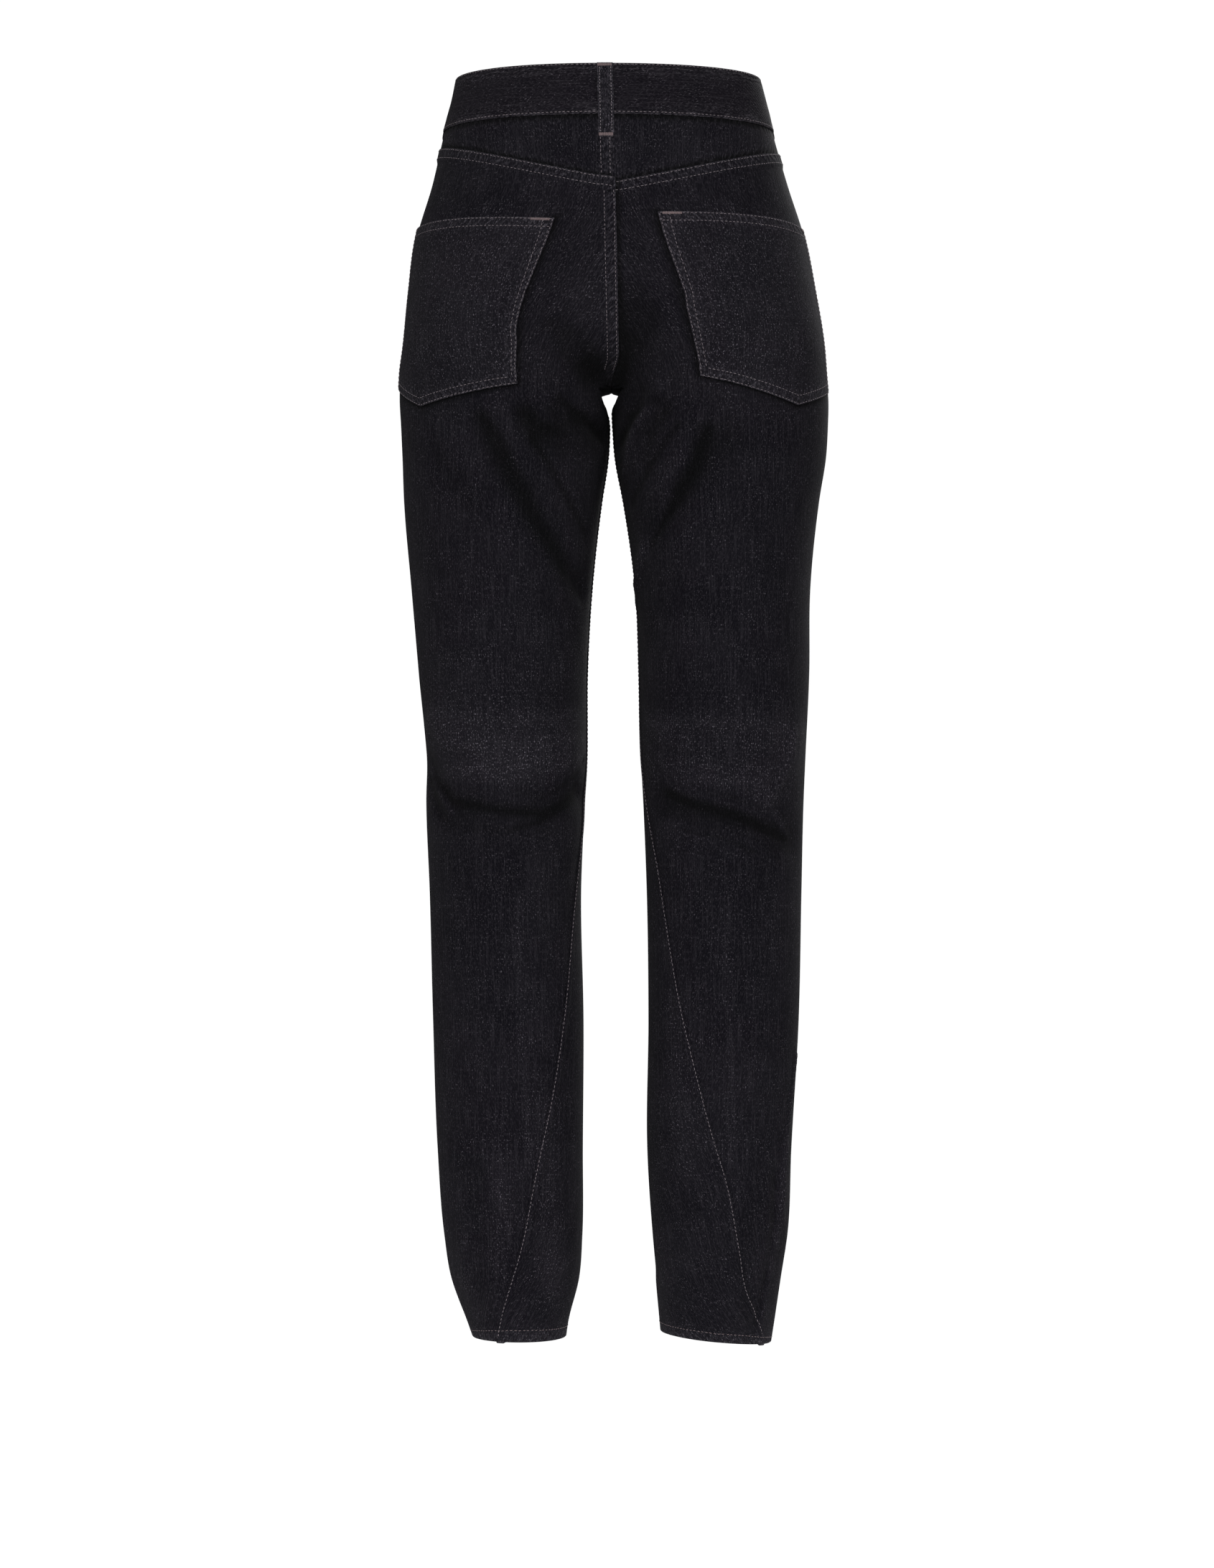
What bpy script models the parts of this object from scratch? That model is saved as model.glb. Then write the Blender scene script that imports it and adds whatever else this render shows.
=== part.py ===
"""Twisted leg jeans, worn: a hollow garment on a general figure.

Blender 4.5 script. The scene is in metres with +Z up. The wearer's left is +X and the front
faces -Y. The origin is the middle of the waist opening, where the wearer holds the garment up.

Sizes and tables are in millimetres and degrees. A place on a leg is a turn and a drop: the turn
goes round the leg from its outer side (0) over the back (90) to its inner side (180) and the
front (270), and the drop is the distance below the origin.
"""
import math

import bmesh
import bpy
import numpy as np
from mathutils import Vector

MM = 0.001

# Cloth and seams
CLOTH = 1.5
BAND_WALL = 2.4
PATCH_WALL = 1.3
LOOP_WALL = 1.6
FACING_WALL = 1.2
SEAM_GAP = 0.3
LAP_GAP = 0.4
PATCH_GAP = 0.7
BACKING_GAP = 0.8
HEM_FOLD = 12.0
HEM_WALL = 3.0

# Heights, as drops below the origin
WAIST = 60.0
CROTCH = 252.0
HEM = 1041.5

# The worn form, a row for each section of the legs. Outer and inner are distances from the
# middle line to the edges of a leg; an inner edge below zero runs past the middle line, and
# the leg is cut off there by the centre seam. Back and front are distances from the origin.
SECTION_COLUMNS = ("drop", "left_outer", "left_inner", "right_outer", "right_inner",
                   "back", "front", "squareness")
SECTIONS = (
    (-15, 122.0, -122.0, 127.0, -127.0, 91.0, -84.0, 2.15),
    (10, 127.5, -127.5, 133.0, -133.0, 97.0, -89.0, 2.18),
    (34, 134.5, -134.5, 138.5, -138.5, 102.0, -93.0, 2.2),
    (80, 146.0, -137.0, 150.5, -141.0, 112.0, -98.0, 2.25),
    (125, 160.0, -121.0, 163.5, -124.5, 122.0, -102.0, 2.3),
    (170, 166.5, -88.0, 171.0, -91.5, 127.0, -104.0, 2.35),
    (215, 172.0, -40.0, 177.5, -42.0, 122.0, -105.0, 2.35),
    (240, 176.0, -14.5, 179.5, -15.0, 114.0, -105.0, 2.25),
    (258, 177.0, -2.5, 181.0, -3.0, 107.5, -105.0, 2.2),
    (280, 176.0, 1.5, 180.7, 1.0, 101.5, -105.0, 2.2),
    (303, 175.0, 3.0, 179.5, 3.0, 98.0, -105.0, 2.2),
    (343, 173.6, 9.0, 173.4, 10.5, 94.0, -104.0, 2.15),
    (415, 167.5, 17.0, 166.2, 20.5, 87.0, -99.0, 2.1),
    (487, 161.3, 21.0, 165.3, 23.5, 79.0, -92.0, 2.1),
    (559, 155.0, 21.4, 162.0, 24.6, 72.0, -84.0, 2.1),
    (595, 155.0, 22.6, 160.4, 26.4, 72.5, -78.0, 2.1),
    (667, 152.0, 25.4, 158.5, 29.2, 76.0, -68.0, 2.1),
    (775, 149.0, 23.4, 156.0, 30.6, 75.0, -57.0, 2.1),
    (883, 145.3, 24.0, 150.0, 29.6, 66.0, -57.0, 2.1),
    (955, 140.0, 24.4, 147.0, 33.6, 57.0, -64.0, 2.1),
    (991, 134.5, 27.0, 141.7, 36.6, 51.5, -71.0, 2.1),
    (1030, 120.6, 36.4, 136.2, 40.2, 46.0, -82.0, 2.1),
    (1045, 115.5, 38.5, 134.0, 41.5, 44.0, -87.0, 2.1),
)

# Just below the crotch the thighs nearly touch. The cloth there is held off the middle line by
# this much, high and narrow under the crotch seam.
CLEARANCE_COLUMNS = ("drop", "left", "right")
CLEARANCE = (
    (252, 0.0, 0.0),
    (254, 4.0, 2.5),
    (257, 6.1, 3.6),
    (265, 5.0, 1.9),
    (275, 2.3, 1.1),
    (290, 0.8, 0.3),
    (310, 0.0, 0.0),
    (330, -15.0, -15.0),
)
CLEARANCE_ROUNDING = 3.0
ROUNDING_DROP = 6.0

# The middle line leans: the centre back seam runs towards the wearer's right on its way down
MIDDLE_COLUMNS = ("drop", "towards_left")
MIDDLE = (
    (-15, 1.8),
    (60, 0.2),
    (120, -1.1),
    (180, -2.4),
    (225, -3.3),
    (252, -3.8),
    (300, -3.9),
    (400, -3.9),
)

# The cloth bridges the valley at the centre seam, with this rounding, less so near the crotch
VALLEY = 12.0
VALLEY_FADE = 27.0

# The twist: how far the inseam and the side seam have travelled round each leg
TWIST_COLUMNS = ("drop", "left", "right")
TWIST = (
    (252, 0, 0),
    (400, -3, -3),
    (520, -1, 3),
    (587, 6, 16),
    (640, 17, 31),
    (700, 30, 43),
    (760, 41, 55),
    (840, 56, 76),
    (905, 71, 93),
    (965, 84, 105),
    (1000, 95, 116),
    (1022, 105, 132),
    (1045, 116, 147),
)
SIDE_SEAM = -12.0

# The largest folds: soft troughs (depth below zero) and ridges, each along a path of places
FOLD_COLUMNS = ("leg", "half_width", "depth", "path")
FOLDS = (
    ("left", 15, -4.5, ((16, 562), (47, 596), (90, 601), (120, 603), (160, 587))),
    ("left", 14, -3.0, ((86, 292), (92, 312), (118, 361), (150, 408))),
    ("left", 14, -3.0, ((104, 286), (122, 300), (150, 296))),
    ("left", 12, -2.5, ((112, 219), (136, 240))),
    ("left", 16, 2.5, ((30, 530), (90, 560), (140, 552))),
    ("right", 15, -4.5, ((140, 585), (115, 595), (87, 603), (56, 617), (34, 624))),
    ("right", 14, 3.0, ((32, 540), (39, 567), (62, 590))),
    ("right", 14, -3.0, ((88, 296), (117, 341), (140, 362))),
    ("right", 11, 2.5, ((112, 312), (148, 378), (166, 410))),
    ("right", 16, -4.0, ((112, 194), (120, 214), (146, 243))),
)

# The centre seam holds its place: the folds fade out over this width beside it
SEAM_HOLD = 22.0
SEAM_HOLD_DROP = 30.0

# Lines round the body
RIM_BACK = -13.0
RIM_SIDE = -9.0
RIM_FRONT = 13.0
FOOT_BACK = 30.1
FOOT_SIDE = 35.5
FOOT_FRONT = 54.0
YOKE_SIDE = {"left": 50.0, "right": 54.5}
YOKE_BACK = {"left": 83.0, "right": 87.0}
HEM_TILT = {"left": 0.0, "right": 4.5}
HEM_TILT_START = 900.0

# The scooped mouth of the front pockets
SCOOP_WIDTH = 37.0
SCOOP_DROP = 74.0
SCOOP_ROUNDNESS = 1.7
FACING_REACH = 10.0
FACING_LAP = 28.0
FACING_STEP = 14.0
FACING_CLEAR = 4.0

# The waistband's closing at the centre front, left end over right end
FRONT_CENTRE = -90.0
LAP_TURN = 9.0
LAP_MARGIN = 3.0
LAP_EASE = 12.0
BAND_PROUD = 0.6

# Back pockets: turns of the inner and outer edges at top, middle and foot, the drops of the
# top and foot corners from inner to outer, and the share across and the drop of the point
POCKETS = {
    "left": {"inner": (81.5, 86.5, 95.5), "outer": (5.0, 3.0, 8.0),
             "top": (117.4, 117.0), "foot": (250.5, 251.0), "point": (0.38, 267.5)},
    "right": {"inner": (82.0, 89.5, 98.0), "outer": (9.0, 9.0, 12.0),
              "top": (118.9, 111.5), "foot": (254.0, 244.5), "point": (0.43, 267.0)},
}
POCKET_TOP_RISE = 2.5

# Belt loops: the place round the waist, from the left side over the back to the right side
LOOPS = {
    "belt_loop_back": 90.0,
    "belt_loop_side_left": -12.0,
    "belt_loop_front_left": -52.0,
    "belt_loop_side_right": 192.0,
    "belt_loop_front_right": 232.0,
}
LOOP_WIDTH = 13.0
LOOP_LENGTH = 62.0
LOOP_ARCH = 0.9
LOOP_ARCH_SHARE = 0.85
LOOP_STEP = 5.0

# Fly and button
FLY_FOOT = 192.0
FACING_WIDTH = 38.0
FACING_EDGE = 0.5
FACING_CURVE_SHARE = 0.25
ZIP_WIDTH = 26.0
ZIP_TOP = 74.0
ZIP_FOOT = 184.0
TAPE_WALL = 1.0
ROW_HEIGHT = 1.0
ROW_SHARE = 0.12
SLIDER_SIZE = (8.0, 3.0, 13.0)
SLIDER_BEVEL = 0.8
BUTTON_RADIUS = 8.5
BUTTON_HEIGHT = 3.0

# Grid of the leg panels: rows at these drops, more of them at the crotch, the knee and the hem
LEG_ROWS = (130, 155, 180, 202, 220, 233, 242, 248, 251.5, 253, 256, 260, 267, 278, 294, 314,
            340, 370, 405, 445, 485, 518, 545, 566, 584, 600, 618, 645, 685, 735, 785, 835,
            882, 922, 955, 980, 1000, 1014, HEM - HEM_FOLD - 1, HEM - HEM_FOLD, HEM)
TOP_ROWS = 3
BACK_COLUMNS = 14
FRONT_COLUMNS = 12
BAND_COLUMNS = 64

DENIM = ("washed_black_denim", (0.012, 0.011, 0.014, 1.0), 0.85, 0.0)
DENIM_INSIDE = ("denim_facing", (0.014, 0.013, 0.016, 1.0), 0.88, 0.0)
BRASS = ("antique_brass", (0.16, 0.11, 0.06, 1.0), 0.35, 1.0)
TAPE = ("zip_tape", (0.010, 0.010, 0.011, 1.0), 0.8, 0.0)


def table(columns, rows):
    """A table as one array for each named column."""
    return {name: np.array([row[i] for row in rows]) for i, name in enumerate(columns)}


SECTION = table(SECTION_COLUMNS, SECTIONS)
TRAVEL = table(TWIST_COLUMNS, TWIST)
LEAN = table(MIDDLE_COLUMNS, MIDDLE)
CLEAR = table(CLEARANCE_COLUMNS, CLEARANCE)


def smooth(knots, values, at):
    """A smooth curve through the knots, with each slope taken from its neighbours."""
    knots = knots.astype(float)
    values = values.astype(float)
    slopes = np.gradient(values, knots)
    at = np.clip(at, knots[0], knots[-1])
    i = np.clip(np.searchsorted(knots, at) - 1, 0, len(knots) - 2)
    span = knots[i + 1] - knots[i]
    t = (at - knots[i]) / span
    start = (1 + 2 * t) * (1 - t) ** 2 * values[i] + t * (1 - t) ** 2 * span * slopes[i]
    end = t ** 2 * (3 - 2 * t) * values[i + 1] + t ** 2 * (t - 1) * span * slopes[i + 1]
    return start + end


def ease(t):
    """A soft step from 0 to 1."""
    t = np.clip(t, 0.0, 1.0)
    return t * t * (3 - 2 * t)


def middle(leg, drop):
    """Where the middle line lies, measured towards the leg's own side."""
    line = smooth(LEAN["drop"], LEAN["towards_left"], drop)
    return line if leg == "left" else -line


def section(leg, drop):
    """The centre, the outer, inner and fore-and-aft radii and the squareness at a drop."""
    drop = np.asarray(drop, float)
    line = middle(leg, drop)
    outer = line + smooth(SECTION["drop"], SECTION[leg + "_outer"], drop)
    inner = line + smooth(SECTION["drop"], SECTION[leg + "_inner"], drop) + SEAM_GAP / 2
    back = smooth(SECTION["drop"], SECTION["back"], drop)
    front = smooth(SECTION["drop"], SECTION["front"], drop)
    share = 0.5 * ease((drop - WAIST) / (CROTCH - WAIST))
    apart = 0.5 * np.clip(inner - line, 0.0, None) * ease((drop - CROTCH) / 60.0)
    centre = line + share * (outer - line) + apart
    square = smooth(SECTION["drop"], SECTION["squareness"], drop)
    return centre, (back + front) / 2, outer - centre, centre - inner, (back - front) / 2, square


def bare_point(leg, turn, drop):
    """The outer face of the cloth before its folds, with x measured towards the leg's side."""
    centre, centre_y, outer, inner, depth, square = section(leg, drop)
    cosine = np.cos(np.radians(turn))
    sine = np.sin(np.radians(turn))
    radius = np.where(cosine > 0, outer, inner)
    x = centre + radius * np.sign(cosine) * np.abs(cosine) ** (2 / square)
    rise = np.abs(sine) ** (2 / square)
    inner_half = (cosine < 0) & (drop < CROTCH)
    rise = np.where(inner_half, bridged(leg, x, drop), rise)
    y = centre_y + depth * np.sign(sine) * rise
    x = held_clear(leg, x, drop)
    return np.stack([x, y, -np.broadcast_to(drop, x.shape)], axis=-1)


def bridged(leg, x, drop):
    """The share of the depth at a point of the inner half, with the centre valley rounded."""
    centre, _, _, inner, _, square = section(leg, drop)
    line = middle(leg, drop)
    rounding = VALLEY * (1 - ease((drop - CROTCH) / VALLEY_FADE + 1))
    reach = np.minimum(line + np.hypot(x - line, rounding), centre)
    share = np.clip((centre - reach) / inner, 0.0, 1.0)
    return (1 - share ** square) ** (1 / square)


def held_clear(leg, x, drop):
    """Keeps the inner thigh off the middle line, below the crotch."""
    limit = middle(leg, drop) + SEAM_GAP / 2 + smooth(CLEAR["drop"], CLEAR[leg], drop)
    over = x - limit
    rounding = CLEARANCE_ROUNDING * ease((drop - CROTCH) / ROUNDING_DROP)
    pressed = limit + (over + np.sqrt(over ** 2 + rounding ** 2)) / 2
    return np.where(drop > CROTCH, pressed, x)


def bare_normal(leg, turn, drop):
    """The way out of the cloth, from small steps round and down the leg."""
    step_turn = 0.4
    step_drop = 1.0
    around = bare_point(leg, turn + step_turn, drop) - bare_point(leg, turn - step_turn, drop)
    down = bare_point(leg, turn, drop + step_drop) - bare_point(leg, turn, drop - step_drop)
    out = np.cross(down, around)
    return out / np.linalg.norm(out, axis=-1, keepdims=True)


def folds(leg, turn, drop, x):
    """How far the folds move the cloth out (above zero) or in."""
    _, _, outer, _, depth, _ = section(leg, drop)
    reach = (outer + depth) / 2
    moved = np.zeros(np.shape(turn))
    for row in FOLDS:
        fold = dict(zip(FOLD_COLUMNS, row))
        if fold["leg"] == leg:
            away = distance_to(fold["path"], turn, drop, reach)
            moved = moved + fold["depth"] * np.exp(-(away / fold["half_width"]) ** 2)
    held = 1 - ease((x - middle(leg, drop)) / SEAM_HOLD)
    return moved * (1 - held * (1 - ease((drop - CROTCH) / SEAM_HOLD_DROP)))


def distance_to(path, turn, drop, reach):
    """The distance along the cloth to the nearest point of a path of turns and drops."""
    nearest = np.full(np.shape(turn), 1000.0)
    for start, end in zip(path, path[1:]):
        along = np.radians(end[0] - start[0]) * reach
        fall = end[1] - start[1]
        x = np.radians(turn - start[0]) * reach
        y = drop - start[1]
        share = np.clip((x * along + y * fall) / (along ** 2 + fall ** 2), 0.0, 1.0)
        nearest = np.minimum(nearest, np.hypot(x - share * along, y - share * fall))
    return nearest


def on_leg(leg, turn, drop, out=0.0):
    """A point on the garment, moved out from the cloth's outer face, in millimetres."""
    turn, drop, out = np.broadcast_arrays(np.asarray(turn, float), drop, out)
    point = bare_point(leg, turn, drop)
    moved = folds(leg, turn, drop, point[..., 0]) + out
    point = point + bare_normal(leg, turn, drop) * moved[..., None]
    point[..., 0] *= 1 if leg == "left" else -1
    return point


def turn_at(leg, drop, across, face):
    """The turn of the point that lies across from the middle line, on the back or the front."""
    centre, _, outer, inner, _, square = section(leg, drop)
    offset = middle(leg, drop) + across - centre
    share = np.clip(offset / np.where(offset > 0, outer, inner), -1.0, 1.0)
    turn = np.degrees(np.arccos(np.sign(share) * np.abs(share) ** (square / 2)))
    return turn if face == "back" else 360.0 - turn


def angle_of(length, leg, drop):
    """The turn that a short length covers at a drop."""
    _, _, outer, _, depth, _ = section(leg, drop)
    return np.degrees(2 * length / (outer + depth))


def twist(leg, drop):
    """How far the seams have travelled round the leg."""
    return np.where(drop < CROTCH, 0.0, smooth(TRAVEL["drop"], TRAVEL[leg], drop))


def inner_seam(leg, drop, face):
    """The turn of the centre seam above the crotch and of the inseam below it."""
    centre_seam = turn_at(leg, np.minimum(drop, CROTCH), SEAM_GAP / 2, face)
    return np.where(drop < CROTCH, centre_seam, 180.0 - twist(leg, drop))


def side_seam(leg, drop):
    """The turn of the side seam."""
    return SIDE_SEAM - twist(leg, drop)


def waist_line(turn, back, side, front):
    """The drop of a line round the waist, from its drops at the back, the sides and the front."""
    sine = np.sin(np.radians(turn))
    behind = side + (back - side) * np.clip(sine, 0, 1)
    return behind + (front - side) * np.clip(-sine, 0, 1) ** 1.5


def rim_line(turn):
    """The drop of the waistband's top edge."""
    return waist_line(turn, RIM_BACK, RIM_SIDE, RIM_FRONT)


def band_line(turn):
    """The drop of the waistband's bottom edge."""
    return waist_line(turn, FOOT_BACK, FOOT_SIDE, FOOT_FRONT)


def yoke_line(leg, turn):
    """The drop of the yoke seam, straight on the cloth from the side to the centre back."""
    share = 1 - np.clip(np.cos(np.radians(turn)), 0, 1) * (turn > 0) - (turn <= 0)
    return YOKE_SIDE[leg] + (YOKE_BACK[leg] - YOKE_SIDE[leg]) * share


def scoop_line(turn):
    """The drop of the front's top edge: the waistband seam, then the scooped pocket mouth."""
    start = 360.0 + SIDE_SEAM - SCOOP_WIDTH
    share = np.clip((turn - start) / SCOOP_WIDTH, 0.0, 1.0)
    curve = (1 - (1 - share) ** SCOOP_ROUNDNESS) ** (1 / SCOOP_ROUNDNESS)
    return band_line(turn) + SCOOP_DROP * curve


def slab(name, columns, rows, place, finish):
    """A wall of cloth: a flat grid, extruded once, with each point carried to its place.

    place(across, down, inside) takes numbers from 0 to 1 and gives millimetres; inside is 0
    on the outer face and 1 on the inner face.
    """
    form = bmesh.new()
    bmesh.ops.create_grid(form, x_segments=columns, y_segments=rows, size=0.5)
    extruded = bmesh.ops.extrude_face_region(form, geom=form.faces[:])
    lifted = [item for item in extruded["geom"] if isinstance(item, bmesh.types.BMVert)]
    bmesh.ops.translate(form, verts=lifted, vec=(0.0, 0.0, 1.0))
    flat = np.array([vertex.co for vertex in form.verts])
    points = place(flat[:, 0] + 0.5, 0.5 - flat[:, 1], flat[:, 2]) * MM
    for vertex, point in zip(form.verts, points):
        vertex.co = point
    return as_object(name, form, finish)


def as_object(name, form, finish):
    """A mesh object in the garment's collection, facing out and shaded smooth."""
    bmesh.ops.recalc_face_normals(form, faces=form.faces)
    if form.calc_volume(signed=True) < 0:
        bmesh.ops.reverse_faces(form, faces=form.faces)
    mesh = bpy.data.meshes.new(name)
    form.to_mesh(mesh)
    form.free()
    mesh.shade_smooth()
    mesh.set_sharp_from_angle(angle=math.radians(50))
    mesh.materials.append(material(name, finish))
    piece = bpy.data.objects.new(name, mesh)
    garment.objects.link(piece)
    return piece


def material(name, finish):
    """A plain material for one piece."""
    label, colour, roughness, metallic = finish
    made = bpy.data.materials.new(label + "_" + name)
    made.use_nodes = True
    shader = made.node_tree.nodes["Principled BSDF"]
    shader.inputs["Base Color"].default_value = colour
    shader.inputs["Roughness"].default_value = roughness
    shader.inputs["Metallic"].default_value = metallic
    return made


def between(start, end, share):
    return start + (end - start) * share


def leg_rows(down, top):
    """The drop of each row of a leg panel, from its top edge to the hem."""
    count = TOP_ROWS + len(LEG_ROWS) - 1
    row = down * count
    upper = between(top, LEG_ROWS[0], np.clip(row / TOP_ROWS, 0, 1))
    lower = np.interp(row - TOP_ROWS, np.arange(len(LEG_ROWS)), LEG_ROWS)
    return np.where(row < TOP_ROWS, upper, lower)


def leg_panel(name, leg, face):
    """The back or the front of one leg, from its top seam to the hem."""
    columns = BACK_COLUMNS if face == "back" else FRONT_COLUMNS

    def place(across, down, inside):
        if face == "back":
            nominal = between(SIDE_SEAM, 90.0, across)
            top = yoke_line(leg, nominal) + SEAM_GAP / 2
        else:
            nominal = between(360.0 + SIDE_SEAM, 270.0, across)
            top = scoop_line(nominal) + SEAM_GAP / 2
        drop = leg_rows(down, top)
        gap = angle_of(SEAM_GAP / 2, leg, drop)
        if face == "back":
            outer = side_seam(leg, drop) + gap
            inner = inner_seam(leg, drop, face) - gap
        else:
            outer = 360.0 + side_seam(leg, drop) - gap
            inner = inner_seam(leg, drop, face) + gap
        turn = between(outer, inner, across)
        low = ease((drop - HEM_TILT_START) / (HEM - HEM_TILT_START))
        tilt = HEM_TILT[leg] * np.cos(np.radians(turn)) * low
        wall = np.where(drop > HEM - HEM_FOLD - 0.5, HEM_WALL, CLOTH)
        return on_leg(leg, turn, drop + tilt, -wall * inside)

    return slab(name, columns, TOP_ROWS + len(LEG_ROWS) - 1, place, DENIM)


def yoke(name, leg):
    """The yoke between the waistband and the back panel."""

    def place(across, down, inside):
        nominal = between(SIDE_SEAM, 90.0, across)
        top = band_line(nominal) + SEAM_GAP / 2
        foot = yoke_line(leg, nominal) - SEAM_GAP / 2
        drop = between(top, foot, down)
        gap = angle_of(SEAM_GAP / 2, leg, drop)
        turn = between(side_seam(leg, drop) + gap, inner_seam(leg, drop, "back") - gap, across)
        return on_leg(leg, turn, drop, -CLOTH * inside)

    return slab(name, BACK_COLUMNS, 3, place, DENIM)


def pocket_facing(name, leg):
    """The cloth behind the scooped mouth of a front pocket, let out to the side seam."""

    def place(across, down, inside):
        turn = between(360.0 + SIDE_SEAM, 360.0 + SIDE_SEAM - SCOOP_WIDTH - FACING_REACH, across)
        mouth = scoop_line(turn)
        top = band_line(turn) + SEAM_GAP / 2
        drop = between(top, mouth + FACING_LAP, down)
        turn = turn - angle_of(SEAM_GAP / 2, leg, drop) * (1 - across)
        under = CLOTH + BACKING_GAP
        out = -under * (1 - ease((mouth - FACING_CLEAR - drop) / FACING_STEP))
        return on_leg(leg, turn, drop, out - FACING_WALL * inside)

    return slab(name, 10, 8, place, DENIM_INSIDE)


def on_waist(place_round, drop, out):
    """A point at a place round the whole waist: 0 left side, 90 back, 180 right side."""
    left = on_leg("left", place_round, drop, out)
    right = on_leg("right", 180.0 - place_round, drop, out)
    on_left = np.cos(np.radians(place_round)) >= 0
    return np.where(on_left[..., None], left, right)


def waistband():
    """One strip round the waist; its left end laps over its right end at the centre front."""
    step = BAND_WALL + SEAM_GAP
    lap_end = FRONT_CENTRE + LAP_TURN + LAP_MARGIN + LAP_EASE

    def place(across, down, inside):
        place_round = between(FRONT_CENTRE - LAP_TURN, FRONT_CENTRE + 360.0 + LAP_TURN, across)
        lap = ease((lap_end - place_round) / LAP_EASE)
        out = BAND_PROUD + step * lap - BAND_WALL * inside
        foot = band_line(place_round) - SEAM_GAP / 2
        drop = between(rim_line(place_round), foot, down)
        return on_waist(place_round, drop, out)

    return slab("waistband", BAND_COLUMNS, 4, place, DENIM)


def beside(place_round, drop, length):
    """The place round the waist that lies a short length further on."""
    start = on_waist(place_round, drop, 0.0)
    turn = place_round + np.sign(length)
    for _ in range(4):
        reached = np.linalg.norm(on_waist(turn, drop, 0.0) - start, axis=-1)
        turn = place_round + (turn - place_round) * np.abs(length) / np.maximum(reached, 0.001)
    return turn


def belt_loop(name, place_round):
    """A belt loop, tacked to the rim and below the waistband, and arched between."""

    def place(across, down, inside):
        drop = rim_line(np.full(across.shape, place_round)) + LAP_GAP + LOOP_LENGTH * down
        length = between(-LOOP_WIDTH / 2, LOOP_WIDTH / 2, across)
        turn = beside(np.full(across.shape, place_round), drop, length)
        below = ease((drop - band_line(turn)) / LOOP_STEP)
        seat = between(BAND_PROUD + LAP_GAP, LAP_GAP, below)
        arch = LOOP_ARCH * np.sin(np.pi * np.clip(down / LOOP_ARCH_SHARE, 0, 1)) ** 2
        return on_waist(turn, drop, seat + arch + LOOP_WALL * (1 - inside))

    return slab(name, 2, 10, place, DENIM)


def back_pocket(name, leg):
    """A patch pocket with a pointed foot, lying on the back panel."""
    sizes = POCKETS[leg]
    thirds = np.array([0.0, 0.5, 1.0])

    def edge(turns, down):
        return smooth(thirds, np.array(turns), down)

    def place(across, down, inside):
        turn = between(edge(sizes["inner"], down), edge(sizes["outer"], down), across)
        top = between(*sizes["top"], across) - POCKET_TOP_RISE * np.sin(np.pi * across)
        corner = between(*sizes["foot"], across)
        point_share, point_drop = sizes["point"]
        fall = point_drop - between(*sizes["foot"], point_share)
        foot = corner + fall * np.interp(across, (0.0, point_share, 1.0), (0.0, 1.0, 0.0))
        drop = between(top, foot, down)
        return on_leg(leg, turn, drop, PATCH_GAP + PATCH_WALL * (1 - inside))

    return slab(name, 10, 9, place, DENIM)


def behind_fly(across, drop, inward):
    """A point behind the centre front; across is positive to the wearer's left."""
    left = on_leg("left", turn_at("left", drop, across, "front"), drop)
    right = on_leg("right", turn_at("right", drop, -across, "front"), drop)
    point = np.where((across > 0)[..., None], left, right)
    point[..., 1] += inward
    return point


def fly_facing():
    """The facing behind the left front, from the waistband to the foot of the fly."""

    def place(across, down, inside):
        drop = between(FOOT_FRONT + SEAM_GAP, FLY_FOOT, down)
        foot = np.clip(1 - (1 - down) / FACING_CURVE_SHARE, 0, 1)
        width = FACING_WIDTH * np.sqrt(1 - 0.9 * foot ** 2)
        inward = CLOTH + BACKING_GAP + FACING_WALL * inside
        return behind_fly(between(FACING_EDGE, width, across), drop, inward)

    return slab("fly_facing", 4, 12, place, DENIM_INSIDE)


def zip_tape():
    """The closed zip behind the facing: a tape with its row standing up in the middle."""
    start = CLOTH + 2 * BACKING_GAP + FACING_WALL

    def place(across, down, inside):
        drop = between(ZIP_TOP, ZIP_FOOT, down)
        x = between(-ZIP_WIDTH / 2, ZIP_WIDTH / 2, across) + FACING_WIDTH / 2
        row = ROW_HEIGHT * np.exp(-((across - 0.5) / ROW_SHARE) ** 2)
        return behind_fly(x, drop, start + (TAPE_WALL + row) * inside)

    return slab("zip", 6, 10, place, TAPE)


def rounded_box(name, size, bevel, finish):
    """A small box with rounded edges, centred on its own origin."""
    form = bmesh.new()
    bmesh.ops.create_cube(form, size=1.0)
    bmesh.ops.scale(form, verts=form.verts, vec=[length * MM for length in size])
    bmesh.ops.bevel(form, geom=form.edges[:], offset=bevel * MM, segments=2, affect="EDGES",
                    profile=0.5)
    return as_object(name, form, finish)


def zip_slider():
    """The slider at the top of the closed zip, with its tab lying flat under the fly."""
    _, thickness, height = SLIDER_SIZE
    piece = rounded_box("zip_slider", SLIDER_SIZE, SLIDER_BEVEL, BRASS)
    drop = np.array(ZIP_TOP - height / 2 - SEAM_GAP)
    inward = CLOTH + 2 * BACKING_GAP + FACING_WALL + thickness / 2
    spot = behind_fly(np.array(FACING_WIDTH / 2), drop, inward)
    piece.location = [float(value) * MM for value in spot]
    return piece


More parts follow.
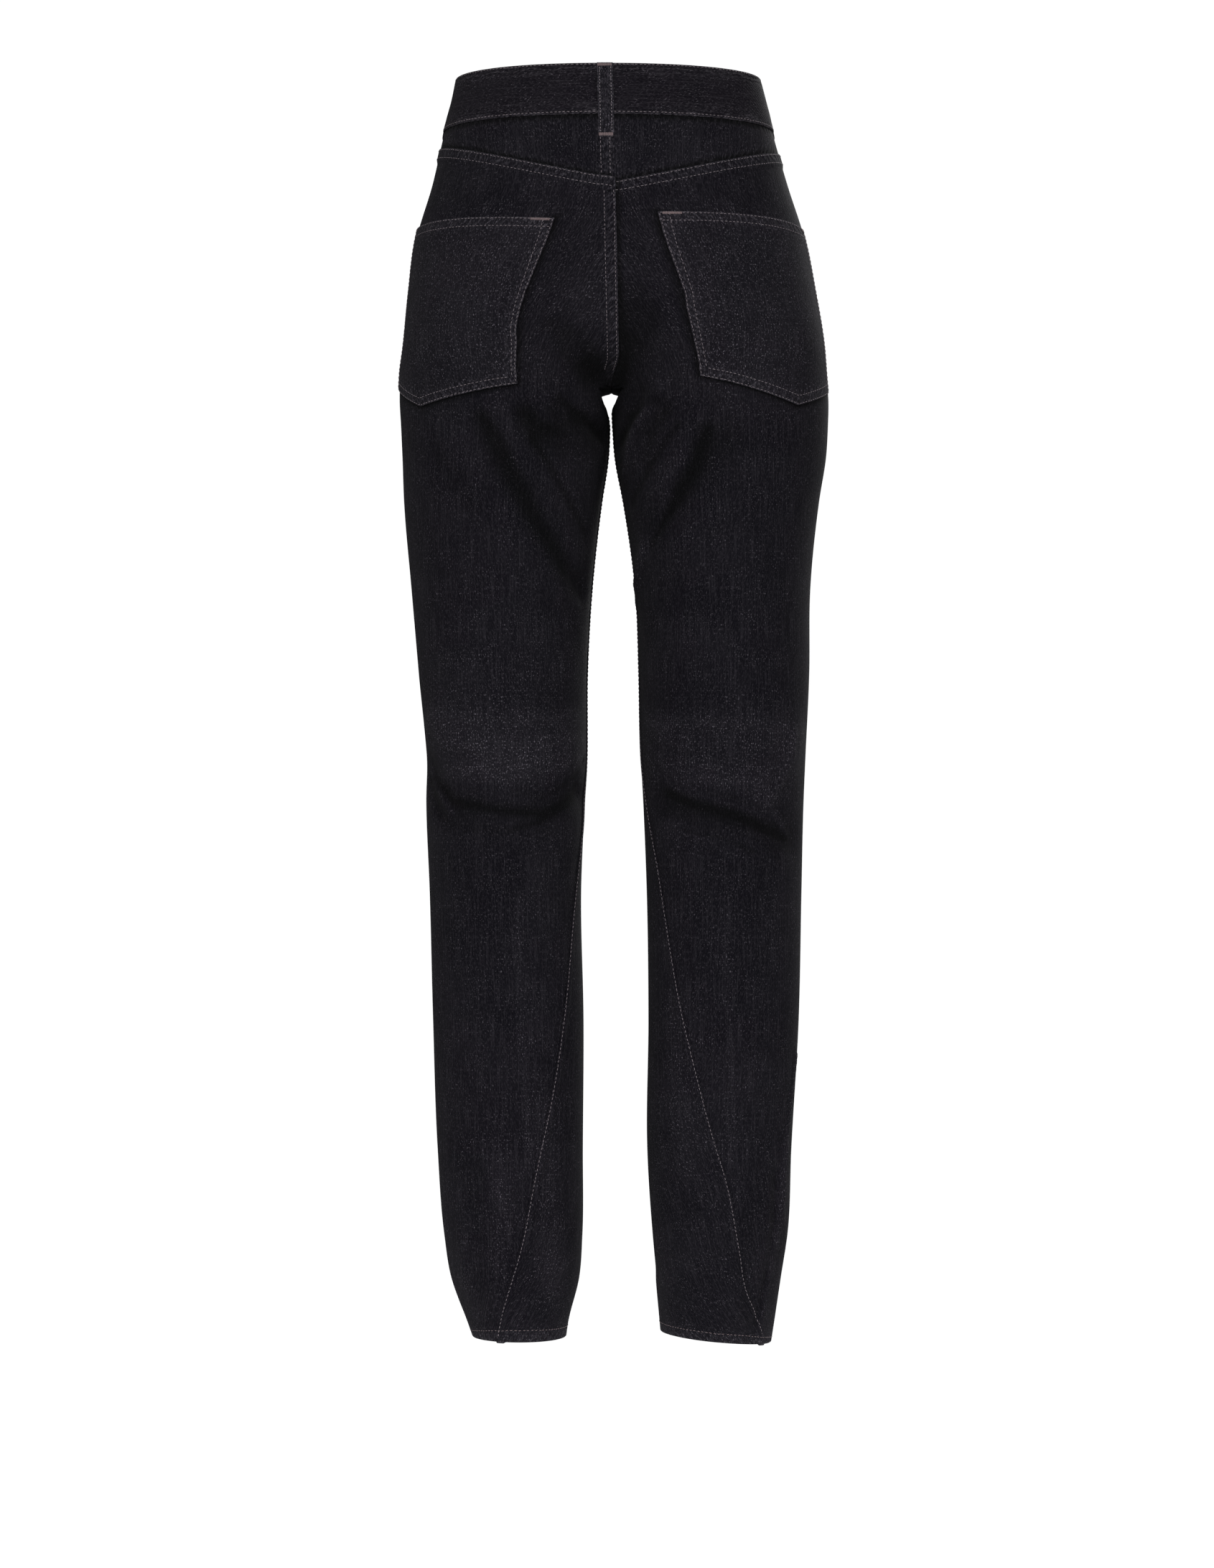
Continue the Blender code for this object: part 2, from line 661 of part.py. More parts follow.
def button():
    """The waistband button: a turned disc with a raised rim on a short shank."""
    profile = ((0.0, 0.0), (3.2, 0.0), (3.2, 0.7), (BUTTON_RADIUS - 0.6, 0.7),
               (BUTTON_RADIUS, 1.2), (BUTTON_RADIUS, 2.3), (BUTTON_RADIUS - 0.8, BUTTON_HEIGHT),
               (BUTTON_RADIUS - 2.2, BUTTON_HEIGHT - 0.1), (BUTTON_RADIUS - 2.8, 2.3), (0.0, 2.2))
    form = bmesh.new()
    ring = [form.verts.new((radius * MM, 0.0, height * MM)) for radius, height in profile]
    edges = [form.edges.new(pair) for pair in zip(ring, ring[1:])]
    bmesh.ops.spin(form, geom=ring + edges, cent=(0, 0, 0), axis=(0, 0, 1),
                   angle=2 * math.pi, steps=28, use_merge=True)
    bmesh.ops.remove_doubles(form, verts=form.verts, dist=0.00001)
    piece = as_object("button", form, BRASS)
    place_round = np.array(FRONT_CENTRE)
    drop = np.array((RIM_FRONT + FOOT_FRONT) / 2)
    lift = BAND_PROUD + BAND_WALL + 2 * SEAM_GAP
    spot = on_waist(place_round, drop, lift)
    way_out = on_waist(place_round, drop, lift + 1.0) - spot
    piece.location = [float(value) * MM for value in spot]
    piece.rotation_mode = "QUATERNION"
    piece.rotation_quaternion = Vector(way_out.tolist()).to_track_quat("Z", "Y")
    return piece


for old in list(bpy.data.objects):
    bpy.data.objects.remove(old)
garment = bpy.data.collections.new("twisted_leg_jeans")
bpy.context.scene.collection.children.link(garment)

waistband()
for side in ("left", "right"):
    yoke("yoke_" + side, side)
    leg_panel("back_" + side, side, "back")
    leg_panel("front_" + side, side, "front")
    back_pocket("back_pocket_" + side, side)
    pocket_facing("pocket_facing_" + side, side)
for loop_name, where in LOOPS.items():
    belt_loop(loop_name, where)
fly_facing()
zip_tape()
zip_slider()
button()
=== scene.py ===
"""The looks of the worn twisted leg jeans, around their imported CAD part.

Sizes are in millimetres and degrees, and become metres where a mesh is made. As in the CAD
source, a place on a leg is a turn and a drop: the turn goes round the leg from its outer side (0)
over the back (90) to its inner side (180) and the front (270), and the drop is the distance below
the origin. The wearer's left is +X and the front faces -Y.
"""

import math
from collections import namedtuple

import bpy
import numpy as np
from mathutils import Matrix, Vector


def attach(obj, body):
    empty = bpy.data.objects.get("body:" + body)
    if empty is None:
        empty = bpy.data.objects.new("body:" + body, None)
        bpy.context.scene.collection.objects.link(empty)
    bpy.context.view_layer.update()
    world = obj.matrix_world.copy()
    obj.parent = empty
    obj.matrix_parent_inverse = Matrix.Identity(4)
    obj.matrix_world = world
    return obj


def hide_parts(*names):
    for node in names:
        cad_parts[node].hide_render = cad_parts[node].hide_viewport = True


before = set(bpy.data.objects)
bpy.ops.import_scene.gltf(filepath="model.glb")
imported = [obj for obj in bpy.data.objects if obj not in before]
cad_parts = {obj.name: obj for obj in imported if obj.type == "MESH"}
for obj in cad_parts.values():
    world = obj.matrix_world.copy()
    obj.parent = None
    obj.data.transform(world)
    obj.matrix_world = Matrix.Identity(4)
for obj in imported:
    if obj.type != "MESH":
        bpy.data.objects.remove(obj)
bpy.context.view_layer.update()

MM = 0.001
LEGS = ("left", "right")
rng = np.random.default_rng(7)

# The worn form. It is that of the CAD source, except for a crotch 2 mm higher, the inner thighs
# just below it, and two shallower folds behind the knees.

SECTION_COLUMNS = ("drop", "left_outer", "left_inner", "right_outer", "right_inner",
                   "back", "front", "squareness")
SECTIONS = (
    (-15, 122.0, -122.0, 127.0, -127.0, 91.0, -84.0, 2.15),
    (10, 127.5, -127.5, 133.0, -133.0, 97.0, -89.0, 2.18),
    (34, 134.5, -134.5, 138.5, -138.5, 102.0, -93.0, 2.2),
    (80, 146.0, -137.0, 150.5, -141.0, 112.0, -98.0, 2.25),
    (125, 160.0, -121.0, 163.5, -124.5, 122.0, -102.0, 2.3),
    (170, 166.5, -88.0, 171.0, -91.5, 127.0, -104.0, 2.35),
    (215, 172.0, -40.0, 177.5, -42.0, 122.0, -105.0, 2.35),
    (240, 176.0, -14.5, 179.5, -15.0, 114.0, -105.0, 2.25),
    (258, 177.0, -2.5, 181.0, -3.0, 107.5, -105.0, 2.2),
    (280, 176.0, 1.5, 180.7, 1.0, 101.5, -105.0, 2.2),
    (303, 175.0, 3.0, 179.5, 3.0, 98.0, -105.0, 2.2),
    (343, 173.6, 9.0, 173.4, 10.5, 94.0, -104.0, 2.15),
    (415, 167.5, 17.0, 166.2, 20.5, 87.0, -99.0, 2.1),
    (487, 161.3, 21.0, 165.3, 23.5, 79.0, -92.0, 2.1),
    (559, 155.0, 21.4, 162.0, 24.6, 72.0, -84.0, 2.1),
    (595, 155.0, 22.6, 160.4, 26.4, 72.5, -78.0, 2.1),
    (667, 152.0, 25.4, 158.5, 29.2, 76.0, -68.0, 2.1),
    (775, 149.0, 23.4, 156.0, 30.6, 75.0, -57.0, 2.1),
    (883, 145.3, 24.0, 150.0, 29.6, 66.0, -57.0, 2.1),
    (955, 140.0, 24.4, 147.0, 33.6, 57.0, -64.0, 2.1),
    (991, 134.5, 27.0, 141.7, 36.6, 51.5, -71.0, 2.1),
    (1030, 120.6, 36.4, 136.2, 40.2, 46.0, -82.0, 2.1),
    (1045, 115.5, 38.5, 134.0, 41.5, 44.0, -87.0, 2.1),
)
CLEARANCE_COLUMNS = ("drop", "left", "right")
CLEARANCE = (
    (250, 0.0, 0.0),
    (251.2, 7.6, 6.4),
    (254, 8.2, 6.9),
    (257.4, 8.1, 4.9),
    (265.4, 5.3, 1.3),
    (277, 2.3, 0.6),
    (290, 0.8, 0.3),
    (310, 0.0, 0.0),
    (330, -15.0, -15.0),
)
CLEARANCE_ROUNDING = 1.5
ROUNDING_DROP = 1.2
MIDDLE_COLUMNS = ("drop", "towards_left")
MIDDLE = (
    (-15, 1.8),
    (60, 0.2),
    (120, -1.1),
    (180, -2.4),
    (225, -3.3),
    (252, -3.8),
    (300, -3.9),
    (400, -3.9),
)
TWIST_COLUMNS = ("drop", "left", "right")
TWIST = (
    (252, 0, 0),
    (400, -3, -3),
    (520, -1, 3),
    (587, 6, 16),
    (640, 17, 31),
    (700, 30, 43),
    (760, 41, 55),
    (840, 56, 76),
    (905, 71, 93),
    (965, 84, 105),
    (1000, 95, 116),
    (1022, 105, 132),
    (1045, 116, 147),
)
WAIST = 60.0
CROTCH = 250.0
HEM = 1041.5
VALLEY = 12.0
VALLEY_FADE = 27.0
SIDE_SEAM = -12.0
RIM_BACK = -13.0
RIM_SIDE = -9.0
RIM_FRONT = 13.0
FOOT_BACK = 30.1
FOOT_SIDE = 35.5
FOOT_FRONT = 54.0
YOKE_SIDE = {"left": 50.0, "right": 54.5}
YOKE_BACK = {"left": 83.0, "right": 87.0}
HEM_TILT = {"left": 0.0, "right": 4.5}
HEM_TILT_START = 900.0
SCOOP_WIDTH = 37.0
SCOOP_DROP = 74.0
SCOOP_ROUNDNESS = 1.7
SEAM_HOLD = 22.0
SEAM_HOLD_DROP = 30.0
LEGS_PART = 60.0
NORMAL_TURN = 0.4
NORMAL_DROP = 1.0
FAR = 1000.0
FRONT_DIP_CURVE = 1.5

# The folds of the worn cloth: soft troughs (depth below zero) and ridges, each along a path of
# places. Those of the CAD source come first, then the finer ones seen in the photograph, and
# then uneven ones of the same kinds on the sides that it doesn't show.
FOLD_COLUMNS = ("leg", "half_width", "depth", "path")
FOLDS = (
    ("left", 15, -3.4, ((16, 562), (47, 596), (90, 601), (120, 603), (160, 587))),
    ("left", 14, -3.0, ((86, 292), (92, 312), (118, 361), (150, 408))),
    ("left", 14, -3.0, ((104, 286), (122, 300), (150, 296))),
    ("left", 12, -2.5, ((112, 219), (136, 240))),
    ("left", 16, 2.5, ((30, 530), (90, 560), (140, 552))),
    ("right", 15, -3.4, ((140, 585), (115, 595), (87, 603), (56, 617), (34, 624))),
    ("right", 14, 3.0, ((32, 540), (39, 567), (62, 590))),
    ("right", 14, -3.0, ((88, 296), (117, 341), (140, 362))),
    ("right", 11, 2.5, ((112, 312), (148, 378), (166, 410))),
    ("right", 16, -4.0, ((112, 194), (120, 214), (146, 243))),
    # seat and thighs, seen
    ("left", 8, -3.5, ((99, 204), (115, 226), (136, 246))),
    ("left", 7, -2.7, ((99, 275), (108, 289), (125, 296))),
    ("left", 7, -3.2, ((117, 272), (136, 280), (162, 289))),
    ("left", 7, -3.1, ((80, 278), (86, 298), (93, 321), (104, 346), (115, 370), (135, 400),
                       (156, 421))),
    ("left", 9, 2.2, ((86, 275), (97, 313), (111, 342), (126, 368), (146, 396))),
    ("left", 10, -1.5, ((52, 309), (63, 328), (73, 350))),
    ("right", 9, -3.0, ((121, 216), (109, 207), (102, 192), (101, 175))),
    ("right", 4, 2.3, ((119, 251), (131, 269), (144, 287), (154, 310), (162, 324))),
    ("right", 6, -2.2, ((132, 256), (148, 278), (161, 297))),
    ("right", 8, -2.0, ((119, 271), (130, 291), (137, 311))),
    ("right", 6, -3.0, ((97, 289), (104, 318), (119, 344), (133, 364), (144, 378))),
    ("right", 4, 2.0, ((122, 341), (135, 364), (147, 381), (161, 404), (179, 427))),
    ("left", 3.5, -1.3, ((118, 262), (130, 272), (150, 284), (165, 296))),
    ("left", 3.5, -1.2, ((104, 296), (118, 322), (136, 352), (152, 372))),
    ("left", 4, -1.1, ((92, 330), (104, 362), (122, 394), (144, 424))),
    ("right", 3.5, -1.3, ((124, 262), (136, 270), (152, 284), (168, 300))),
    ("right", 3.5, -1.3, ((112, 284), (126, 308), (142, 330), (158, 346))),
    ("right", 3.5, -1.2, ((102, 318), (116, 346), (134, 372), (152, 394))),
    # behind the knees, seen
    ("left", 3.5, -1.2, ((24, 540), (44, 552), (70, 556))),
    ("left", 3.5, -1.4, ((96, 584), (118, 590), (140, 580), (166, 560))),
    ("left", 3.5, -1.3, ((30, 604), (58, 616), (92, 618))),
    ("right", 3.5, -1.4, ((150, 600), (124, 606), (98, 616), (72, 624), (50, 634))),
    ("right", 3.5, -1.2, ((146, 548), (120, 556), (92, 556))),
    ("right", 3.5, -1.2, ((108, 582), (84, 592), (62, 600), (44, 606))),
    ("left", 3.5, 2.3, ((14, 562), (23, 574), (37, 589), (48, 602))),
    ("left", 5, -2.2, ((12, 576), (24, 590), (36, 604))),
    ("left", 6, -1.8, ((43, 582), (63, 588), (84, 598), (104, 603), (123, 596), (155, 580))),
    ("left", 5, -1.6, ((114, 610), (133, 598), (163, 586))),
    ("left", 7, 0.8, ((30, 524), (89, 525), (148, 523))),
    ("left", 7, 0.8, ((32, 545), (88, 548), (157, 543))),
    ("left", 7, 1.0, ((45, 567), (88, 569), (158, 561))),
    ("right", 4, 2.7, ((38, 536), (40, 555), (52, 579), (62, 595))),
    ("right", 4, 2.2, ((62, 596), (48, 607), (38, 620))),
    ("right", 6, -2.2, ((137, 594), (106, 599), (82, 607), (60, 614), (41, 619))),
    ("right", 7, 0.8, ((152, 530), (94, 529), (46, 531))),
    ("right", 7, 0.8, ((154, 562), (94, 563), (58, 566))),
    ("right", 6, 0.9, ((155, 576), (104, 577), (64, 582))),
    # calves, seen
    ("left", 4, 0.9, ((83, 873), (88, 886))),
    ("left", 9, 1.1, ((80, 885), (84, 927), (76, 975))),
    ("left", 10, -1.1, ((62, 900), (58, 960), (54, 1010))),
    ("left", 12, 1.2, ((52, 940), (45, 1001))),
    ("right", 4, 1.8, ((14, 804), (23, 858), (32, 905), (27, 941))),
    ("right", 4, 2.4, ((29, 881), (34, 941), (38, 989), (44, 1025))),
    ("right", 6, -2.6, ((39, 905), (38, 965), (42, 1001), (49, 1025))),
    ("right", 9, -1.0, ((70, 940), (66, 990), (62, 1025))),
    # front of the hips and the crotch, hidden
    ("left", 9, -2.4, ((208, 238), (228, 222), (252, 214))),
    ("left", 8, -1.9, ((206, 262), (230, 256), (262, 258))),
    ("left", 7, 1.2, ((214, 250), (238, 240), (258, 236))),
    ("left", 10, -1.6, ((222, 196), (246, 184), (272, 182))),
    ("left", 9, -1.4, ((198, 292), (216, 304), (240, 306))),
    ("right", 9, -2.2, ((210, 240), (232, 228), (258, 224))),
    ("right", 8, -2.0, ((204, 266), (226, 268), (256, 276))),
    ("right", 7, 1.3, ((212, 254), (236, 248), (256, 248))),
    ("right", 10, -1.4, ((224, 204), (250, 196), (278, 198))),
    ("right", 8, -1.5, ((200, 298), (222, 314), (250, 322))),
    # knees from the front, hidden
    ("left", 10, -1.8, ((222, 540), (262, 556), (300, 550))),
    ("left", 8, 1.4, ((216, 566), (256, 584), (308, 574))),
    ("left", 9, -1.9, ((226, 612), (268, 622), (312, 604))),
    ("left", 8, -1.3, ((300, 520), (326, 534), (344, 560))),
    ("right", 10, -1.7, ((228, 548), (268, 560), (312, 548))),
    ("right", 8, 1.5, ((222, 580), (262, 592), (302, 588))),
    ("right", 9, -2.0, ((230, 620), (266, 628), (304, 618))),
    ("right", 8, -1.4, ((212, 560), (200, 590), (196, 622))),
    # lower legs from the front and the sides, hidden
    ("left", 9, -1.2, ((240, 720), (262, 772), (276, 826))),
    ("left", 9, 1.0, ((282, 830), (296, 884), (300, 936))),
    ("left", 8, -1.9, ((212, 940), (250, 962), (292, 956))),
    ("left", 7, 1.3, ((206, 968), (248, 984), (300, 978))),
    ("left", 8, -1.7, ((218, 1000), (258, 1008), (310, 992))),
    ("left", 10, -1.3, ((330, 900), (342, 950), (350, 1000))),
    ("right", 9, -1.3, ((236, 706), (256, 762), (284, 806))),
    ("right", 9, 1.1, ((270, 850), (286, 896), (290, 930))),
    ("right", 8, -1.8, ((222, 932), (262, 950), (302, 938))),
    ("right", 7, 1.4, ((216, 960), (258, 976), (306, 966))),
    ("right", 8, -1.8, ((210, 994), (256, 1004), (298, 998))),
    ("right", 10, -1.2, ((196, 880), (188, 930), (182, 980))),
)

# Wear and painted shade: pale places of wear, and below zero painted shade in the creases behind
# the knees and across the thighs and in the recess at the crotch, each along a path of places
WEAR_AND_SHADE_COLUMNS = ("leg", "half_width", "strength", "path")
WEAR_AND_SHADE = (
    ("left", 3.5, -0.7, ((24, 574), (47, 592), (90, 601), (120, 603), (155, 589))),
    ("left", 3.5, 0.3, ((30, 566), (50, 583), (90, 592), (118, 594), (150, 580))),
    ("left", 3, -0.5, ((96, 616), (120, 608), (146, 596))),
    ("left", 3.5, -0.55, ((118, 262), (130, 272), (150, 284), (165, 296))),
    ("left", 3.5, -0.5, ((104, 296), (118, 322), (136, 352), (152, 372))),
    ("right", 3.5, -0.7, ((136, 586), (115, 595), (87, 603), (56, 617), (38, 623))),
    ("right", 3.5, 0.3, ((134, 577), (112, 586), (86, 594), (58, 607))),
    ("right", 3, -0.5, ((120, 616), (96, 622), (70, 634))),
    ("right", 3.5, -0.55, ((124, 262), (136, 270), (152, 284), (168, 300))),
    ("right", 3.5, -0.5, ((112, 284), (126, 308), (142, 330), (158, 346))),
    ("left", 17, -0.9, ((172, 226), (164, 238), (164, 250), (170, 262), (176, 280))),
    ("left", 9, -0.5, ((128, 236), (142, 246), (160, 256))),
    ("right", 16, -0.9, ((166, 216), (160, 232), (162, 246), (170, 260), (176, 280))),
    ("right", 8, -0.5, ((122, 216), (134, 230), (148, 243))),
    ("left", 7, -0.35, ((80, 278), (93, 321), (115, 370), (135, 400))),
    ("left", 8, -0.4, ((99, 275), (108, 289), (136, 280))),
    ("right", 7, -0.4, ((97, 289), (104, 318), (119, 344), (144, 378))),
    ("right", 8, -0.35, ((119, 271), (130, 291), (148, 278))),
    ("left", 26, 0.39, ((40, 535), (90, 560), (150, 545))),
    ("left", 7, 0.3, ((30, 524), (89, 525), (148, 523))),
    ("left", 7, 0.3, ((45, 567), (88, 569), (158, 561))),
    ("left", 9, 0.3, ((80, 603), (110, 608), (140, 596))),
    ("left", 30, 0.24, ((50, 480), (90, 500), (140, 480))),
    ("left", 2.5, 0.41, ((99, 672), (99, 731), (101, 790), (103, 850), (104, 891))),
    ("left", 2.5, 0.5, ((14, 562), (23, 574), (37, 589), (48, 602))),
    ("left", 40, 0.21, ((112, 130), (100, 190), (110, 215))),
    ("left", 7, 0.21, ((80, 885), (84, 927), (76, 975))),
    ("left", 12, 0.4, ((118, 850), (122, 930), (125, 1000))),
    ("right", 26, 0.35, ((46, 545), (94, 560), (150, 545))),
    ("right", 7, 0.3, ((152, 530), (94, 529), (46, 531))),
    ("right", 7, 0.3, ((155, 570), (104, 572), (64, 578))),
    ("right", 8, 0.24, ((130, 612), (90, 622), (60, 630))),
    ("right", 2.5, 0.39, ((90, 672), (90, 731), (89, 749), (84, 816), (82, 893))),
    ("right", 2.5, 0.5, ((38, 536), (40, 555), (52, 579), (62, 595))),
    ("right", 2.5, 0.44, ((62, 596), (48, 607), (38, 620))),
    ("right", 2.5, 0.5, ((122, 341), (135, 364), (147, 381), (161, 404))),
    ("right", 2.5, 0.44, ((131, 269), (144, 287), (154, 310), (162, 324))),
    ("right", 3, 0.39, ((14, 804), (23, 858), (32, 905), (34, 941), (38, 989), (44, 1025))),
    ("right", 30, 0.21, ((104, 120), (92, 190), (86, 240))),
    ("right", 12, 0.4, ((132, 760), (124, 830), (120, 900))),
    ("left", 34, 0.28, ((232, 380), (262, 470), (268, 590))),
    ("right", 34, 0.28, ((234, 380), (262, 470), (268, 590))),
)


def table(columns, rows):
    """A table as one array for each named column."""
    return {name: np.array([row[i] for row in rows]) for i, name in enumerate(columns)}


SECTION = table(SECTION_COLUMNS, SECTIONS)
TRAVEL = table(TWIST_COLUMNS, TWIST)
LEAN = table(MIDDLE_COLUMNS, MIDDLE)
CLEAR = table(CLEARANCE_COLUMNS, CLEARANCE)


def smooth(knots, values, at):
    """A smooth curve through the knots, with each slope taken from its neighbours."""
    knots = np.asarray(knots, float)
    values = np.asarray(values, float)
    slopes = np.gradient(values, knots)
    at = np.clip(at, knots[0], knots[-1])
    i = np.clip(np.searchsorted(knots, at) - 1, 0, len(knots) - 2)
    span = knots[i + 1] - knots[i]
    t = (at - knots[i]) / span
    start = (1 + 2 * t) * (1 - t) ** 2 * values[i] + t * (1 - t) ** 2 * span * slopes[i]
    end = t ** 2 * (3 - 2 * t) * values[i + 1] + t ** 2 * (t - 1) * span * slopes[i + 1]
    return start + end


def ease(t):
    """A soft step from 0 to 1."""
    t = np.clip(t, 0.0, 1.0)
    return t * t * (3 - 2 * t)


def between(start, end, share):
    """The value at a share of the way from the start to the end."""
    return start + (end - start) * share


def middle(leg, drop):
    """Where the middle line lies, measured towards the leg's own side."""
    line = smooth(LEAN["drop"], LEAN["towards_left"], drop)
    return line if leg == "left" else -line


def section(leg, drop):
    """The centre, the outer, inner and fore-and-aft radii and the squareness at a drop."""
    drop = np.asarray(drop, float)
    line = middle(leg, drop)
    outer = line + smooth(SECTION["drop"], SECTION[leg + "_outer"], drop)
    inner = line + smooth(SECTION["drop"], SECTION[leg + "_inner"], drop)
    back = smooth(SECTION["drop"], SECTION["back"], drop)
    front = smooth(SECTION["drop"], SECTION["front"], drop)
    share = 0.5 * ease((drop - WAIST) / (CROTCH - WAIST))
    apart = 0.5 * np.clip(inner - line, 0.0, None) * ease((drop - CROTCH) / LEGS_PART)
    centre = line + share * (outer - line) + apart
    square = smooth(SECTION["drop"], SECTION["squareness"], drop)
    return centre, (back + front) / 2, outer - centre, centre - inner, (back - front) / 2, square


def bare_point(leg, turn, drop):
    """The outer face of the cloth before its folds, with x measured towards the leg's side."""
    centre, centre_y, outer, inner, depth, square = section(leg, drop)
    cosine = np.cos(np.radians(turn))
    sine = np.sin(np.radians(turn))
    radius = np.where(cosine > 0, outer, inner)
    x = centre + radius * np.sign(cosine) * np.abs(cosine) ** (2 / square)
    rise = np.abs(sine) ** (2 / square)
    inner_half = (cosine < 0) & (drop < CROTCH)
    rise = np.where(inner_half, bridged(leg, x, drop), rise)
    y = centre_y + depth * np.sign(sine) * rise
    x = held_clear(leg, x, drop)
    return np.stack([x, y, -np.broadcast_to(drop, x.shape)], axis=-1)


def bridged(leg, x, drop):
    """The share of the depth at a point of the inner half, with the centre valley rounded."""
    centre, _, _, inner, _, square = section(leg, drop)
    line = middle(leg, drop)
    rounding = VALLEY * (1 - ease((drop - CROTCH) / VALLEY_FADE + 1))
    reach = np.minimum(line + np.hypot(x - line, rounding), centre)
    share = np.clip((centre - reach) / inner, 0.0, 1.0)
    return (1 - share ** square) ** (1 / square)


def held_clear(leg, x, drop):
    """Keeps the inner thigh off the middle line, below the crotch."""
    limit = middle(leg, drop) + smooth(CLEAR["drop"], CLEAR[leg], drop)
    over = x - limit
    rounding = CLEARANCE_ROUNDING * ease((drop - CROTCH) / ROUNDING_DROP)
    pressed = limit + (over + np.sqrt(over ** 2 + rounding ** 2)) / 2
    return np.where(drop > CROTCH, pressed, x)


def bare_normal(leg, turn, drop):
    """The way out of the cloth, from small steps round and down the leg."""
    before = bare_point(leg, turn - NORMAL_TURN, drop)
    above = bare_point(leg, turn, drop - NORMAL_DROP)
    around = bare_point(leg, turn + NORMAL_TURN, drop) - before
    down = bare_point(leg, turn, drop + NORMAL_DROP) - above
    out = np.cross(down, around)
    return out / np.linalg.norm(out, axis=-1, keepdims=True)


def distance_to(path, turn, drop, reach):
    """The distance along the cloth to the nearest point of a path of turns and drops."""
    nearest = np.full(np.shape(turn), FAR)
    for start, end in zip(path, path[1:]):
        along = np.radians(end[0] - start[0]) * reach
        fall = end[1] - start[1]
        x = np.radians(np.mod(turn - start[0] + 180.0, 360.0) - 180.0) * reach
        y = drop - start[1]
        share = np.clip((x * along + y * fall) / (along ** 2 + fall ** 2), 0.0, 1.0)
        nearest = np.minimum(nearest, np.hypot(x - share * along, y - share * fall))
    return nearest


def painted(rows, columns, leg, turn, drop):
    """The sum of a table's soft strokes at places on a leg."""
    _, _, outer, _, depth, _ = section(leg, drop)
    reach = (outer + depth) / 2
    total = np.zeros(np.shape(turn))
    for row in rows:
        stroke = dict(zip(columns, row))
        if stroke["leg"] == leg:
            away = distance_to(stroke["path"], turn, drop, reach)
            total = total + stroke[columns[2]] * np.exp(-(away / stroke["half_width"]) ** 2)
    return total


def on_leg(leg, turn, drop, out=0.0):
    """A point on the garment, moved out from the cloth's face, in millimetres."""
    turn, drop, out = np.broadcast_arrays(np.asarray(turn, float), drop, out)
    point = bare_point(leg, turn, drop)
    held = 1 - ease((point[..., 0] - middle(leg, drop)) / SEAM_HOLD)
    free = 1 - held * (1 - ease((drop - CROTCH) / SEAM_HOLD_DROP))
    moved = painted(FOLDS, FOLD_COLUMNS, leg, turn, drop) * free + out
    point = point + bare_normal(leg, turn, drop) * moved[..., None]
    point[..., 0] *= 1 if leg == "left" else -1
    return point


def turn_at(leg, drop, across, face):
    """The turn of the point that lies across from the middle line, on the back or the front."""
    centre, _, outer, inner, _, square = section(leg, drop)
    offset = middle(leg, drop) + across - centre
    share = np.clip(offset / np.where(offset > 0, outer, inner), -1.0, 1.0)
    turn = np.degrees(np.arccos(np.sign(share) * np.abs(share) ** (square / 2)))
    return turn if face == "back" else 360.0 - turn


def angle_of(length, leg, drop):
    """The turn that a short length covers at a drop."""
    _, _, outer, _, depth, _ = section(leg, drop)
    return np.degrees(2 * length / (outer + depth))


def twist(leg, drop):
    """How far the seams have travelled round the leg."""
    return np.where(drop < CROTCH, 0.0, smooth(TRAVEL["drop"], TRAVEL[leg], drop))


def side_seam(leg, drop):
    """The turn of the side seam."""
    return SIDE_SEAM - twist(leg, drop)


def waist_line(turn, back, side, front):
    """The drop of a line round the waist, from its drops at the back, the sides and the front."""
    sine = np.sin(np.radians(turn))
    behind = side + (back - side) * np.clip(sine, 0, 1)
    return behind + (front - side) * np.clip(-sine, 0, 1) ** FRONT_DIP_CURVE


def rim_line(turn):
    """The drop of the waistband's top edge."""
    return waist_line(turn, RIM_BACK, RIM_SIDE, RIM_FRONT)


def band_line(turn):
    """The drop of the waistband's bottom edge."""
    return waist_line(turn, FOOT_BACK, FOOT_SIDE, FOOT_FRONT)


def yoke_line(leg, turn):
    """The drop of the yoke seam, straight on the cloth from the side to the centre back."""
    share = 1 - np.clip(np.cos(np.radians(turn)), 0, 1) * (turn > 0) - (turn <= 0)
    return YOKE_SIDE[leg] + (YOKE_BACK[leg] - YOKE_SIDE[leg]) * share


def scoop_line(turn):
    """The drop of the front's top edge: the waistband seam, then the scooped pocket mouth."""
    start = 360.0 + SIDE_SEAM - SCOOP_WIDTH
    share = np.clip((turn - start) / SCOOP_WIDTH, 0.0, 1.0)
    curve = (1 - (1 - share) ** SCOOP_ROUNDNESS) ** (1 / SCOOP_ROUNDNESS)
    return band_line(turn) + SCOOP_DROP * curve


# Finishes. The patterns of the denim's threads are drawn in millimetres across and along them, so
# each scale is 1 / millimetres. The ribs are really 1.1 mm apart and are drawn at 1.9 mm, which is
# the finest that the render shows.

RIB_SPACING = 1.9
SPACING_AT_ONE = 0.31

# Each noise has its name, its stretch across and along the threads, its scale and its detail
THREAD_NOISES = (
    ("slubs", (1.0, 0.04, 1.0), 0.75, 2.0),
    ("weft", (0.1, 1.0, 1.0), 0.8, 2.0),
    ("grain", (1.0, 0.4, 1.0), 0.8, 2.0),
    ("flecks", (0.8, 0.5, 1.0), 1.15, 1.0),
    ("patches", (1.0, 1.0, 1.0), 0.06, 3.0),
    ("wander", (1.0, 1.0, 1.0), 0.05, 2.0),
)

